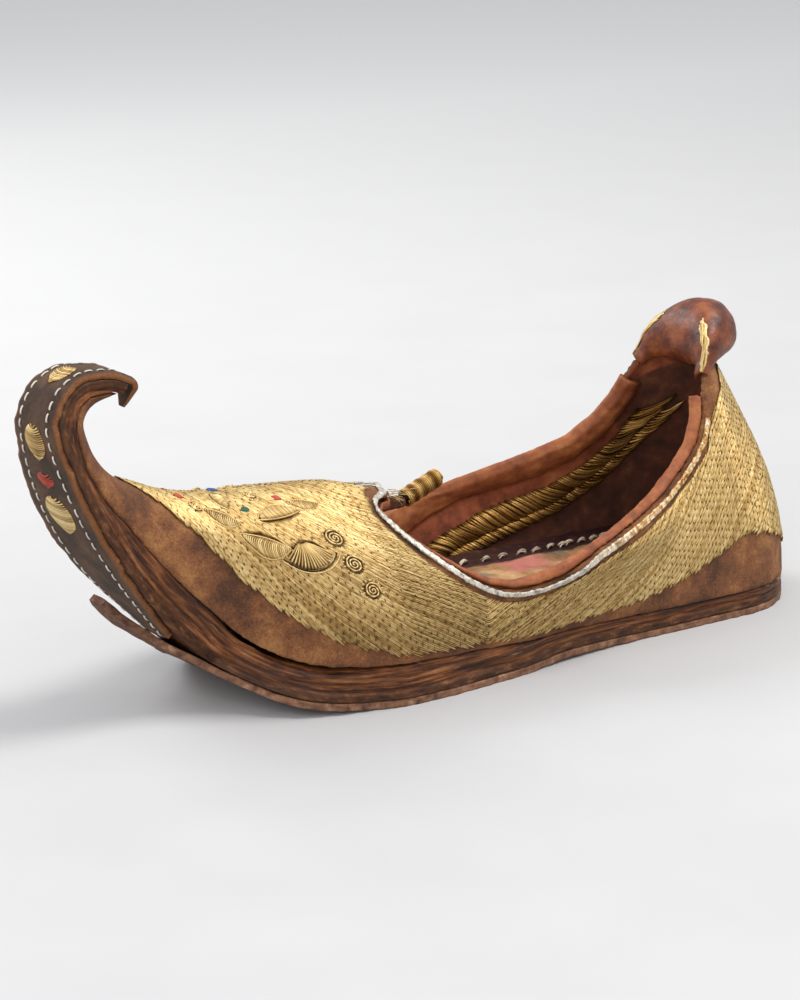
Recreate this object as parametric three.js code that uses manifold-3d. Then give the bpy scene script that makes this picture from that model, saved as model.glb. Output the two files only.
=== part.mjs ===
import * as THREE from 'three'
import { mergeVertices } from 'three/addons/utils/BufferGeometryUtils.js'
import Module from 'manifold-3d'

// Wedding slipper with a curled toe, in millimetres. +X points to the toe, +Y to the wearer's
// left, +Z up. The origin lies on the floor, under the middle of the heel seat.

// Driving sizes
const LENGTH = 279.7 // back of the heel to the front of the prow
const HEEL_BACK = 28 // origin back to the end of the heel
const BALL_WIDTH = 88
const TOE_HEIGHT = 107 // floor to the top of the curl
const EDGE = 13 // height of the sole's side at the ball
const THROAT_HEIGHT = 54.5 // floor to the upper's crown at the throat
const TAB_HEIGHT = 84 // floor to the top of the heel tab, under its hood
const COLLAR_HEIGHT = 46 // floor to the collar beside the heel
const WALL = 2.2 // leather of the upper with its lining
const EMBROIDERY = 0.8 // how far the laid threads stand out of the suede
const LAYER = 2.2 // outsole and toe strip
const WELT = 2.4 // the pale layer at the foot of the sole's side
const WELT_STEP = 0.7 // how far that layer stands out
const CLEAR = 0.3 // gap between pieces that touch
const HEEL_ROUND = 34 // radius of the heel in plan
const INSOLE_TOP = 16.5 // floor to the tread of the insole
const PIPING_WIDTH = 2.2
const PIPING_THICK = 1.2
const ROLL_DEPTH = 7 // how far the rolled lining reaches down inside
const ROLL_THICK = 2.4
const HOOD_HEIGHT = 15.3 // hood above the tab's top, at the back
const HOOD_OVERHANG = 13 // hood behind the tab
const TOGGLE_RADIUS = 2.1
const TOGGLE_LENGTH = 14.5
const TOGGLE_RISE = 0.37 // radians above level
const TOGGLE_BACK = 9 // behind the tongue's tip
const TOGGLE_DROP = 2.6 // below the tongue
const INSOLE_THIN = 3 // least thickness of the insole

const SMALLEST = 0.03 // details finer than this are left out of cut pieces

const HALF = BALL_WIDTH / 2
const FROM_HEEL = (share) => share * LENGTH - HEEL_BACK

// The sole and the last, heel to toe. x: share of LENGTH. z: bottom line, share of TOE_HEIGHT.
// foot, rim: half-widths at the bottom and the top of the sole's side, shares of HALF.
// edge: height of that side, share of EDGE. strip: half-width of the toe strip, share of HALF.
// crownX, crownZ: ridge of the closed last, shares of LENGTH and TOE_HEIGHT.
// midW, midH, topW, topH: two points of the section between rim and crown, as shares of the
// rim's half-width and of the height from rim to crown.
const ROWS = [
  { x: 0.001, z: 0, foot: 0.8, rim: 0.805, edge: 0.62, strip: 0, crownX: 0.001, crownZ: 0.09, midW: 0.97, midH: 0.35, topW: 0.7, topH: 0.75 },
  { x: 0.005, z: 0, foot: 0.8, rim: 0.805, edge: 0.62, strip: 0, crownX: 0.005, crownZ: 0.17, midW: 0.96, midH: 0.35, topW: 0.68, topH: 0.76 },
  { x: 0.02, z: 0, foot: 0.8, rim: 0.805, edge: 0.62, strip: 0, crownX: 0.02, crownZ: 0.34, midW: 0.94, midH: 0.35, topW: 0.64, topH: 0.77 },
  { x: 0.049, z: 0, foot: 0.8, rim: 0.805, edge: 0.62, strip: 0, crownX: 0.049, crownZ: 0.54, midW: 0.92, midH: 0.34, topW: 0.6, topH: 0.76 },
  { x: 0.099, z: 0, foot: 0.8, rim: 0.805, edge: 0.62, strip: 0, crownX: 0.099, crownZ: 0.79, midW: 0.92, midH: 0.32, topW: 0.5, topH: 0.74 },
  { x: 0.136, z: 0, foot: 0.8, rim: 0.805, edge: 0.62, strip: 0, crownX: 0.136, crownZ: 0.92, midW: 0.93, midH: 0.3, topW: 0.55, topH: 0.72 },
  { x: 0.179, z: 0, foot: 0.8, rim: 0.805, edge: 0.62, strip: 0, crownX: 0.179, crownZ: 0.86, midW: 0.97, midH: 0.28, topW: 0.69, topH: 0.62 },
  { x: 0.225, z: 0, foot: 0.8, rim: 0.805, edge: 0.63, strip: 0, crownX: 0.225, crownZ: 0.79, midW: 1, midH: 0.25, topW: 0.82, topH: 0.55 },
  { x: 0.268, z: 0, foot: 0.8, rim: 0.81, edge: 0.64, strip: 0, crownX: 0.268, crownZ: 0.7, midW: 1.03, midH: 0.25, topW: 0.97, topH: 0.55 },
  { x: 0.333, z: 0.005, foot: 0.82, rim: 0.825, edge: 0.65, strip: 0, crownX: 0.333, crownZ: 0.57, midW: 1.08, midH: 0.28, topW: 1.12, topH: 0.6 },
  { x: 0.401, z: 0.009, foot: 0.86, rim: 0.865, edge: 0.68, strip: 0, crownX: 0.401, crownZ: 0.52, midW: 1.12, midH: 0.3, topW: 1.1, topH: 0.62 },
  { x: 0.472, z: 0, foot: 0.93, rim: 0.935, edge: 0.8, strip: 0, crownX: 0.472, crownZ: 0.515, midW: 1.04, midH: 0.3, topW: 0.92, topH: 0.66 },
  { x: 0.529, z: 0, foot: 0.97, rim: 0.97, edge: 0.9, strip: 0, crownX: 0.529, crownZ: 0.508, midW: 1, midH: 0.3, topW: 0.8, topH: 0.68 },
  { x: 0.59, z: 0, foot: 1, rim: 1, edge: 0.97, strip: 0, crownX: 0.59, crownZ: 0.527, midW: 0.98, midH: 0.32, topW: 0.62, topH: 0.71 },
  { x: 0.636, z: 0, foot: 1, rim: 1, edge: 1, strip: 0, crownX: 0.636, crownZ: 0.556, midW: 0.98, midH: 0.32, topW: 0.62, topH: 0.72 },
  { x: 0.676, z: 0.004, foot: 0.943, rim: 0.943, edge: 1, strip: 0, crownX: 0.669, crownZ: 0.566, midW: 0.98, midH: 0.32, topW: 0.64, topH: 0.72 },
  { x: 0.715, z: 0.012, foot: 0.886, rim: 0.875, edge: 1, strip: 0, crownX: 0.701, crownZ: 0.573, midW: 0.98, midH: 0.33, topW: 0.66, topH: 0.73 },
  { x: 0.747, z: 0.026, foot: 0.807, rim: 0.795, edge: 1, strip: 0, crownX: 0.729, crownZ: 0.579, midW: 0.98, midH: 0.34, topW: 0.68, topH: 0.74 },
  { x: 0.776, z: 0.05, foot: 0.66, rim: 0.693, edge: 1, strip: 0, crownX: 0.756, crownZ: 0.584, midW: 0.98, midH: 0.35, topW: 0.7, topH: 0.75 },
  { x: 0.801, z: 0.084, foot: 0.477, rim: 0.6, edge: 1, strip: 0, crownX: 0.782, crownZ: 0.589, midW: 0.98, midH: 0.36, topW: 0.72, topH: 0.76 },
  { x: 0.826, z: 0.13, foot: 0.307, rim: 0.523, edge: 1, strip: 0.04, crownX: 0.804, crownZ: 0.595, midW: 0.97, midH: 0.36, topW: 0.7, topH: 0.77 },
  { x: 0.851, z: 0.196, foot: 0.295, rim: 0.455, edge: 1, strip: 0.12, crownX: 0.828, crownZ: 0.606, midW: 0.97, midH: 0.37, topW: 0.7, topH: 0.78 },
  { x: 0.881, z: 0.28, foot: 0.33, rim: 0.41, edge: 0.96, strip: 0.22, crownX: 0.851, crownZ: 0.622, midW: 0.96, midH: 0.39, topW: 0.68, topH: 0.79 },
  { x: 0.921, z: 0.402, foot: 0.398, rim: 0.364, edge: 0.93, strip: 0.36, crownX: 0.877, crownZ: 0.65, midW: 0.93, midH: 0.4, topW: 0.62, topH: 0.8 },
  { x: 0.952, z: 0.523, foot: 0.416, rim: 0.341, edge: 0.84, strip: 0.385, crownX: 0.904, crownZ: 0.682, midW: 0.9, midH: 0.4, topW: 0.55, topH: 0.8 },
  { x: 0.972, z: 0.626, foot: 0.398, rim: 0.307, edge: 0.67, strip: 0.37, crownX: 0.924, crownZ: 0.729, midW: 0.88, midH: 0.4, topW: 0.5, topH: 0.8 },
  { x: 0.989, z: 0.748, foot: 0.33, rim: 0.273, edge: 0.58, strip: 0.31, crownX: 0.939, crownZ: 0.794, midW: 0.86, midH: 0.4, topW: 0.48, topH: 0.8 },
  { x: 0.998, z: 0.86, foot: 0.273, rim: 0.25, edge: 0.62, strip: 0.255, crownX: 0.946, crownZ: 0.855, midW: 0.86, midH: 0.4, topW: 0.48, topH: 0.8 },
  { x: 0.982, z: 0.958, foot: 0.239, rim: 0.227, edge: 0.58, strip: 0.225, crownX: 0.94, crownZ: 0.882, midW: 0.86, midH: 0.4, topW: 0.5, topH: 0.8 },
  { x: 0.949, z: 1, foot: 0.216, rim: 0.205, edge: 0.54, strip: 0.205, crownX: 0.932, crownZ: 0.9, midW: 0.88, midH: 0.42, topW: 0.55, topH: 0.82 },
  { x: 0.92, z: 0.995, foot: 0.193, rim: 0.182, edge: 0.5, strip: 0.185, crownX: 0.918, crownZ: 0.915, midW: 0.9, midH: 0.42, topW: 0.6, topH: 0.84 },
  { x: 0.896, z: 0.972, foot: 0.159, rim: 0.148, edge: 0.46, strip: 0.155, crownX: 0.9, crownZ: 0.922, midW: 0.9, midH: 0.42, topW: 0.6, topH: 0.84 },
]
const LAST = ROWS.length - 1
const CAVITY_END = 22.4 // the row where the hollow stops
const STRIP_START = 21.2 // the row where the toe strip starts

// Side view of the collar, from the tab's top to the tip of the tongue. x: share of LENGTH.
// z: share of COLLAR_HEIGHT.
const COLLAR = [
  { x: 0.099, z: 1.82 },
  { x: 0.123, z: 1.78 },
  { x: 0.142, z: 1.68 },
  { x: 0.151, z: 1.56 },
  { x: 0.158, z: 1.43 },
  { x: 0.176, z: 1.26 },
  { x: 0.207, z: 1.11 },
  { x: 0.247, z: 0.995 },
  { x: 0.286, z: 0.925 },
  { x: 0.333, z: 0.85 },
  { x: 0.379, z: 0.775 },
  { x: 0.414, z: 0.69 },
  { x: 0.447, z: 0.63 },
  { x: 0.479, z: 0.61 },
  { x: 0.508, z: 0.635 },
  { x: 0.536, z: 0.71 },
  { x: 0.56, z: 0.82 },
  { x: 0.579, z: 0.93 },
  { x: 0.594, z: 1.035 },
  { x: 0.602, z: 1.115 },
]
const TAB_CORNER = 2 // the collar row where the hood ends and the roll begins
const THROAT = { front: 0.603, notch: 1.15, root: 1.172, tip: 0.563, corner: 4 }
const BORDER = 3.5 // bare suede between the collar's edge and the embroidery
const PIPING_FIRST_ROW = 4 // the collar row where the piping starts, by the heel
const ROLL = [
  { at: 0, size: 1.5 },
  { at: 0.3, size: 1.3 },
  { at: 0.55, size: 0.95 },
  { at: 0.8, size: 0.55 },
  { at: 1, size: 0.4 },
]

// Top of the embroidery round the heel. x: share of LENGTH. z: share of TAB_HEIGHT.
const FIELD_TOP = [
  { x: -1, z: 0.95 },
  { x: 0.089, z: 0.94 },
  { x: 0.114, z: 0.885 },
  { x: 0.132, z: 0.84 },
  { x: 0.147, z: 0.785 },
  { x: 0.159, z: 0.72 },
]
const FIELD_FIRST_ROW = 5 // the collar row where the field's top joins the collar's border

// Section of the hood, in mm from the tab's edge at its corners. At the back a length that
// points out or up is a share of HOOD_OVERHANG or HOOD_HEIGHT.
const HOOD = [
  { cornerOut: -2.6, cornerUp: -3, backOut: -2.6, backUp: -5.5 },
  { cornerOut: -3.6, cornerUp: -3.2, backOut: -5.5, backUp: -6 },
  { cornerOut: -4.2, cornerUp: -0.5, backOut: -9.3, backUp: -0.5 },
  { cornerOut: -3.8, cornerUp: 1, backOut: -9.5, backUp: 0.43 },
  { cornerOut: -2.6, cornerUp: 2, backOut: -5, backUp: 0.83 },
  { cornerOut: -1.2, cornerUp: 2.2, backOut: 0.08, backUp: 1 },
  { cornerOut: 0.2, cornerUp: 1.9, backOut: 0.58, backUp: 0.9 },
  { cornerOut: 1, cornerUp: 1.2, backOut: 0.92, backUp: 0.57 },
  { cornerOut: 1.5, cornerUp: 0, backOut: 1, backUp: 0.17 },
  { cornerOut: 1.3, cornerUp: -1.2, backOut: 0.81, backUp: -1.5 },
  { cornerOut: 0.9, cornerUp: -1.4, backOut: 0.46, backUp: -2.2 },
  { cornerOut: 0.4, cornerUp: -0.5, backOut: 0.09, backUp: -0.2 },
  { cornerOut: 0.4, cornerUp: 0.4, backOut: 0.03, backUp: 0.03 },
  { cornerOut: -2.6, cornerUp: 0.4, backOut: -2.6, backUp: 0.03 },
]

// Lower edge of the embroidery. row: place along ROWS. share: place between rim and crown.
const THREAD_EDGE = [
  { row: 0, share: 0.32 },
  { row: 5, share: 0.24 },
  { row: 7, share: 0.17 },
  { row: 9, share: 0.1 },
  { row: 11, share: 0.05 },
  { row: 14, share: 0.06 },
  { row: 16, share: 0.17 },
  { row: 18, share: 0.28 },
  { row: 20, share: 0.42 },
  { row: 22, share: 0.62 },
  { row: 24, share: 0.97 },
]
const THREAD_END = 24.2 // the row where the embroidery stops on the neck of the curl

// Numbers along a table, with a smooth curve that never runs past its rows
function along(values, at) {
  const last = values.length - 1
  const t = Math.min(Math.max(at, 0), last)
  const i = Math.min(Math.floor(t), last - 1)
  const slope = (k) => {
    if (k < 1 || k > last - 1) return values[Math.min(k + 1, last)] - values[Math.max(k - 1, 0)]
    const before = values[k] - values[k - 1]
    const after = values[k + 1] - values[k]
    return before * after <= 0 ? 0 : (2 * before * after) / (before + after)
  }
  const f = t - i
  const [a, b, da, db] = [values[i], values[i + 1], slope(i), slope(i + 1)]
  return a + f * (da + f * (3 * (b - a) - 2 * da - db + f * (da + db - 2 * (b - a))))
}

const COLUMNS = Object.fromEntries(
  Object.keys(ROWS[0]).map((key) => [key, ROWS.map((row) => row[key])])
)
const column = (key, row) => along(COLUMNS[key], row)

// A value against a rising key, in straight steps
function between(table, key, value, at) {
  const last = table.length - 1
  const i = Math.max(0, table.findLastIndex((entry, k) => k < last && entry[key] <= at))
  const f = Math.min(1, Math.max(0, (at - table[i][key]) / (table[i + 1][key] - table[i][key])))
  return table[i][value] + f * (table[i + 1][value] - table[i][value])
}

// The heel's plan is round: half-widths shrink towards its back
function heelRound(x) {
  const inset = HEEL_ROUND - HEEL_BACK - x
  return inset <= 0 ? 1 : Math.sqrt(Math.max(0, 1 - (inset / HEEL_ROUND) ** 2))
}

// One station of the shoe: the sole's bottom, the rim above it and the crown
function station(row) {
  const at = (r) => new THREE.Vector3(FROM_HEEL(column('x', r)), 0, TOE_HEIGHT * column('z', r))
  const step = 0.02
  const bottom = at(row)
  const tangent = at(Math.min(row + step, LAST)).sub(at(Math.max(row - step, 0))).normalize()
  const inward = new THREE.Vector3(-tangent.z, 0, tangent.x)
  const edge = EDGE * column('edge', row)
  const rim = bottom.clone().addScaledVector(inward, edge)
  const crown = new THREE.Vector3(
    FROM_HEEL(column('crownX', row)), 0, TOE_HEIGHT * column('crownZ', row)
  )
  const round = heelRound(bottom.x)
  const foot = HALF * column('foot', row) * round
  const rimHalf = HALF * column('rim', row) * round
  return { bottom, inward, edge, rim, crown, foot, rimHalf }
}

// Curve of the last's section over its width and its share of the height from rim to crown
function sectionCurve(row, rimHalf) {
  const quarter = [[1, 0], [column('midW', row), column('midH', row)],
    [column('topW', row), column('topH', row)], [0, 1]]
  const points = [...quarter, ...quarter.slice(0, 3).reverse().map(([w, h]) => [-w, h])]
  return new THREE.CatmullRomCurve3(
    points.map(([w, h]) => new THREE.Vector3(w * rimHalf, h, 0)), false, 'catmullrom', 0.5
  )
}

const sections = new Map()

// A point of the last's section: share runs 0 at the rim, 1 at the crown, 2 at the far rim
function sectionPoint(row, share) {
  if (!sections.has(row)) {
    const { rim, crown, rimHalf } = station(row)
    sections.set(row, { rim, up: crown.sub(rim), curve: sectionCurve(row, rimHalf) })
  }
  const { rim, up, curve } = sections.get(row)
  const p = curve.getPoint(share / 2)
  return rim.clone().addScaledVector(up, p.y).setY(p.x)
}

// The same point moved along the outward normal of the surface
function surfacePoint(row, share, lift) {
  const step = 0.01
  const point = sectionPoint(row, share)
  const ahead = Math.min(row + step, LAST)
  const over = Math.min(share + step, 2)
  const alongShoe = sectionPoint(ahead, share).sub(sectionPoint(ahead - step, share))
  const aroundShoe = sectionPoint(row, over).sub(sectionPoint(row, over - step))
  const normal = new THREE.Vector3().crossVectors(aroundShoe, alongShoe).normalize()
  return point.addScaledVector(normal, lift)
}

// Where the last's surface has a given x and height, on the near side, in the vertical sections
function rowAtX(x, share) {
  let [low, high] = [0, CAVITY_END]
  for (let i = 0; i < 24; i++) {
    const middle = (low + high) / 2
    if (sectionPoint(middle, share).x < x) low = middle
    else high = middle
  }
  return low
}

function placeOnLast(x, z) {
  let share = 0.5
  let row = rowAtX(x, share)
  for (let round = 0; round < 3; round++) {
    let [low, high] = [0, 1]
    for (let i = 0; i < 24; i++) {
      const middle = (low + high) / 2
      if (sectionPoint(row, middle).z < z) low = middle
      else high = middle
    }
    share = low
    row = rowAtX(x, share)
  }
  return { row, share }
}

// A closed solid through rings of equally many points, with flat ends
function loft(rings) {
  const count = rings[0].length
  const positions = rings.flat().flatMap((p) => [p.x, p.y, p.z])
  const faces = []
  for (let i = 0; i + 1 < rings.length; i++) {
    for (let j = 0; j < count; j++) {
      const [a, b] = [i * count + j, i * count + ((j + 1) % count)]
      const [c, d] = [a + count, b + count]
      faces.push(a, b, d, a, d, c)
    }
  }
  const end = (ring, start, flip) => {
    const normal = new THREE.Vector3()
    ring.forEach((p, k) => {
      const q = ring[(k + 1) % count]
      normal.add(new THREE.Vector3().crossVectors(p, q))
    })
    normal.normalize()
    const side = new THREE.Vector3(0, 1, 0)
    if (Math.abs(normal.y) > 0.9) side.set(0, 0, 1)
    side.addScaledVector(normal, -side.dot(normal)).normalize()
    const other = new THREE.Vector3().crossVectors(normal, side)
    const flat = ring.map((p) => new THREE.Vector2(p.dot(side), p.dot(other)))
    for (const [a, b, c] of THREE.ShapeUtils.triangulateShape(flat, [])) {
      faces.push(start + a, start + (flip ? c : b), start + (flip ? b : c))
    }
  }
  end(rings[0], 0, true)
  end(rings.at(-1), (rings.length - 1) * count, false)
  return outward(positions, faces)
}

// The geometry with its faces turned to the outside
function outward(positions, faces) {
  const point = (i) => new THREE.Vector3().fromArray(positions, 3 * i)
  let volume = 0
  for (let i = 0; i < faces.length; i += 3) {
    const [a, b, c] = [point(faces[i]), point(faces[i + 1]), point(faces[i + 2])]
    volume += a.dot(b.cross(c))
  }
  if (volume < 0) {
    for (let i = 0; i < faces.length; i += 3) {
      [faces[i + 1], faces[i + 2]] = [faces[i + 2], faces[i + 1]]
    }
  }
  const geometry = new THREE.BufferGeometry()
  geometry.setAttribute('position', new THREE.Float32BufferAttribute(positions, 3))
  geometry.setIndex(faces)
  return geometry
}

// Booleans
const wasm = await Module()
wasm.setup()

function toSolid(geometry) {
  const plain = geometry.clone()
  plain.deleteAttribute('normal')
  plain.deleteAttribute('uv')
  const merged = mergeVertices(plain, 1e-4)
  return new wasm.Manifold(new wasm.Mesh({
    numProp: 3,
    vertProperties: new Float32Array(merged.attributes.position.array),
    triVerts: new Uint32Array(merged.index.array),
  }))
}

function fromSolid(solid) {
  const { vertProperties, triVerts } = solid.simplify(SMALLEST).getMesh()
  const geometry = new THREE.BufferGeometry()
  geometry.setAttribute('position', new THREE.BufferAttribute(vertProperties.slice(), 3))
  geometry.setIndex(new THREE.BufferAttribute(triVerts.slice(), 1))
  return geometry
}

const steps = (from, to, count) =>
  Array.from({ length: count + 1 }, (_, i) => from + ((to - from) * i) / count)

// Rows for the sections of a piece, closer together round the heel
const stationRows = (end) =>
  [0, 0.4, 0.8, 1.3, 2, 2.5, ...steps(3, end, Math.round(1.7 * (end - 3)))]

// Sole
// One section of the sole: its side as half-widths and heights over the bottom line
function soleRing(row) {
  const s = station(row)
  const [low, high] = [LAYER + CLEAR, s.edge - CLEAR]
  const ledge = Math.min(low + WELT, high - 1)
  const inner = s.foot + (s.rimHalf - s.foot) * (ledge / s.edge) - WELT_STEP
  const side = [[s.foot, low], [s.foot, ledge - 0.4], [inner, ledge], [s.rimHalf, high]]
  const far = side.slice().reverse().map(([y, h]) => [-y, h])
  return [...side, ...far].map(([y, h]) => s.bottom.clone().addScaledVector(s.inward, h).setY(y))
}

const midsole = () => loft(stationRows(LAST).map(soleRing))

// The peeled front of the outsole. x: share of LENGTH, z: share of TOE_HEIGHT, near and far:
// its two edges as shares of HALF
const FLAP = [
  { x: 0.797, z: 0.076, near: 0.46, far: -0.52 },
  { x: 0.821, z: 0.118, near: 0.3, far: -0.5 },
  { x: 0.845, z: 0.162, near: 0.1, far: -0.53 },
  { x: 0.861, z: 0.193, near: -0.06, far: -0.5 },
  { x: 0.878, z: 0.238, near: -0.22, far: -0.55 },
  { x: 0.892, z: 0.28, near: -0.33, far: -0.49 },
]

function outsole() {
  const box = (near, far, bottom, up) => [near, far, far, near].map((y, i) =>
    bottom.clone().addScaledVector(up, i < 2 ? 0 : LAYER).setY(y))
  const rings = [0, 0.35, ...steps(1, 18, 26)].map((row) => {
    const s = station(row)
    return box(s.foot, -s.foot, s.bottom, s.inward)
  })
  const flapAt = (i) => new THREE.Vector3(FROM_HEEL(FLAP[i].x), 0, TOE_HEIGHT * FLAP[i].z)
  FLAP.forEach((entry, i) => {
    const [before, after] = [flapAt(Math.max(0, i - 1)), flapAt(Math.min(FLAP.length - 1, i + 1))]
    const run = after.sub(before).normalize()
    const up = new THREE.Vector3(-run.z, 0, run.x)
    rings.push(box(entry.near * HALF, entry.far * HALF, flapAt(i), up))
  })
  return loft(rings)
}

// The strip over the prow. Its tip runs past the sole and hangs down as a thin hook:
// x and z as shares of LENGTH and TOE_HEIGHT, half as a share of HALF, thick of LAYER.
const HOOK = [
  { x: 0.885, z: 0.956, half: 0.13, thick: 1 },
  { x: 0.881, z: 0.93, half: 0.11, thick: 1 },
  { x: 0.885, z: 0.9, half: 0.07, thick: 0.75 },
  { x: 0.891, z: 0.872, half: 0.025, thick: 0.4 },
]

function toeStrip() {
  const crowned = (half, thick) => [[half, 0.5], [half * 0.5, 0], [-half * 0.5, 0], [-half, 0.5],
    [-half, thick], [half, thick]]
  const rings = steps(STRIP_START, LAST, 26).map((row) => {
    const s = station(row)
    const half = HALF * column('strip', row)
    return crowned(half, LAYER).map(([y, h]) =>
      s.bottom.clone().addScaledVector(s.inward, h).setY(y))
  })
  const end = station(LAST)
  const path = [end.bottom, ...HOOK.map((entry) =>
    new THREE.Vector3(FROM_HEEL(entry.x), 0, TOE_HEIGHT * entry.z))]
  HOOK.forEach((entry, i) => {
    const run = path[Math.min(i + 2, path.length - 1)].clone().sub(path[i]).normalize()
    const inward = new THREE.Vector3(-run.z, 0, run.x)
    rings.push(crowned(HALF * entry.half, LAYER * entry.thick).map(([y, h]) =>
      path[i + 1].clone().addScaledVector(inward, h).setY(y)))
  })
  return loft(rings)
}

// Upper
const ARCH = 20 // faces around one section

const archRings = (rows, lift) =>
  rows.map((row) => steps(0, 2, ARCH).map((share) => surfacePoint(row, share, lift)))

const suedeBody = (lift) => loft(archRings(stationRows(LAST), lift))

// The embroidered field: lifted above its lower edge, sunk into the suede below it
function embroidery() {
  const threads = THREAD_EDGE.map((entry) => entry.row)
  const rows = stationRows(THREAD_END).slice(1)
  const rings = rows.map((row) => {
    const edge = between(THREAD_EDGE, 'row', 'share', row)
    const lift = EMBROIDERY * Math.min(1, (threads.at(-1) - row) * 2 + 0.2)
    const half = [...[0.5 * edge, edge].map((share) => [share, -0.8 * WALL]),
      ...steps(edge + 0.01, 1, ARCH / 2 - 3).map((share) => [share, lift])]
    const ring = [...half, ...half.slice(0, -1).reverse().map(([share, up]) => [2 - share, up])]
    return ring.map(([share, up]) => surfacePoint(row, share, up))
  })
  return loft(rings)
}

// The hollow inside, carried on below the rim so that it opens underneath
function cavity(wall) {
  const rows = stationRows(CAVITY_END).slice(2)
  return loft(archRings(rows, -wall).map((ring, i) => {
    const s = station(rows[i])
    const down = s.rim.clone().sub(s.crown).normalize().multiplyScalar(EDGE)
    return [ring[0].clone().add(down), ...ring, ring.at(-1).clone().add(down)]
  }))
}

// The collar's edge in the side view, from the tab's top to the front of the throat
const collarLine = () => [
  ...COLLAR.map((entry) => new THREE.Vector2(FROM_HEEL(entry.x), COLLAR_HEIGHT * entry.z)),
  new THREE.Vector2(FROM_HEEL(THROAT.front), COLLAR_HEIGHT * THROAT.notch),
]

// A line moved sideways into the leather
function inset(line, margin) {
  return line.map((p, i) => {
    const before = line[Math.max(0, i - 1)]
    const after = line[Math.min(line.length - 1, i + 1)]
    const run = after.clone().sub(before).normalize()
    return new THREE.Vector2(p.x + margin * run.y, p.y - margin * run.x)
  })
}

// Everything inside a side view outline, pushed through the whole width
function sideCutter(points) {
  const shape = new THREE.Shape(points)
  const geometry = new THREE.ExtrudeGeometry(shape, { depth: 2 * BALL_WIDTH, bevelEnabled: false })
  geometry.rotateX(Math.PI / 2)
  geometry.translate(0, BALL_WIDTH, 0)
  return toSolid(geometry)
}

// The space above the collar line, grown by a margin. start: the outline behind the line.
function openingCutter(margin, start, firstRow) {
  const root = COLLAR_HEIGHT * THROAT.root + 0.6 * margin
  const front = FROM_HEEL(THROAT.front) + margin
  const tip = FROM_HEEL(THROAT.tip) + margin
  return sideCutter([
    ...start,
    ...inset(collarLine(), margin).slice(firstRow),
    new THREE.Vector2(front - THROAT.corner, root),
    new THREE.Vector2(tip, root),
    new THREE.Vector2(tip, 2 * TOE_HEIGHT),
    new THREE.Vector2(-LENGTH, 2 * TOE_HEIGHT),
  ])
}

const tabPoint = (x, z) => new THREE.Vector2(FROM_HEEL(x), TAB_HEIGHT * z)

const collarCutter = (margin) =>
  openingCutter(margin, [tabPoint(-1, 1), tabPoint(COLLAR[0].x - 0.02, 1)], 0)

function upper() {
  const fieldTop = FIELD_TOP.map((entry) => tabPoint(entry.x, entry.z))
  const field = toSolid(embroidery()).subtract(openingCutter(BORDER, fieldTop, FIELD_FIRST_ROW))
  const body = toSolid(suedeBody(0)).add(field)
  return fromSolid(body.subtract(toSolid(cavity(WALL))).subtract(collarCutter(0)))
}

// A piece that lies against the bare wall, cut back to leave a clear gap
function besideWall(geometry) {
  const wall = toSolid(suedeBody(CLEAR)).subtract(toSolid(cavity(WALL + CLEAR)))
  return fromSolid(toSolid(geometry).subtract(wall.subtract(collarCutter(-CLEAR))))
}

// The collar's edge as stops on the last: near side from the heel to the throat, round the
// tongue's tip and back on the far side. margin(share of the near side) moves it into the leather.
function edgeStops(line, margin, tip) {
  const last = line.length - 1 + (tip ? 3 : 0)
  const places = line.map((p, i) => inset(line, margin(i / last))[i])
  if (tip) {
    const front = FROM_HEEL(THROAT.front) - THROAT.corner + margin(1)
    const end = FROM_HEEL(THROAT.tip) + margin(1)
    const root = COLLAR_HEIGHT * THROAT.root + 0.45 * margin(1)
    places.push(new THREE.Vector2(front, root), new THREE.Vector2((front + end) / 2, root))
  }
  const stops = places.map((p) => placeOnLast(p.x, p.y))
  if (tip) stops.push({ row: rowAtX(FROM_HEEL(THROAT.tip) + margin(1), 1), share: 1 })
  const near = stops.map(({ row, share }) => {
    const point = surfacePoint(row, share, 0)
    return { point, normal: surfacePoint(row, share, 1).sub(point) }
  })
  const mirror = (v) => new THREE.Vector3(v.x, -v.y, v.z)
  const far = near.slice(0, -1).reverse().map(({ point, normal }) =>
    ({ point: mirror(point), normal: mirror(normal) }))
  return [...near, ...far]
}

// A section swept along lists of stops. section(share of the path) gives [list, out, in]
// entries: out along the normal, in towards the opening.
function sweep(lists, count, section, side) {
  const curves = lists.map((stops) => ({
    path: new THREE.CatmullRomCurve3(stops.map((stop) => stop.point), false, 'centripetal'),
    normals: new THREE.CatmullRomCurve3(stops.map((stop) => stop.normal)),
  }))
  return loft(steps(0, 1, count).map((t) => section(t).map(([list, out, into]) => {
    const { path, normals } = curves[list]
    const run = path.getTangent(t)
    const normal = side ? side(run) : normals.getPoint(t)
    normal.addScaledVector(run, -normal.dot(run)).normalize()
    const inside = new THREE.Vector3().crossVectors(run, normal)
    return path.getPoint(t).addScaledVector(normal, out).addScaledVector(inside, into)
  })))
}

function piping() {
  const line = collarLine().slice(PIPING_FIRST_ROW)
  const [low, high] = [CLEAR + 0.1, CLEAR + 0.1 + PIPING_THICK]
  const lists = [edgeStops(line, () => 0, true), edgeStops(line, () => PIPING_WIDTH, true)]
  const section = () => [[1, low, -0.1], [1, high - 0.2, 0], [0, high, -0.9], [0, high - 0.3, -0.3],
    [0, low, -0.2]]
  return besideWall(sweep(lists, 50, section))
}

// The rolled lining is thick at the heel and thin at the throat
const rollSize = (share) => between(ROLL, 'at', 'size', share)

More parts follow.
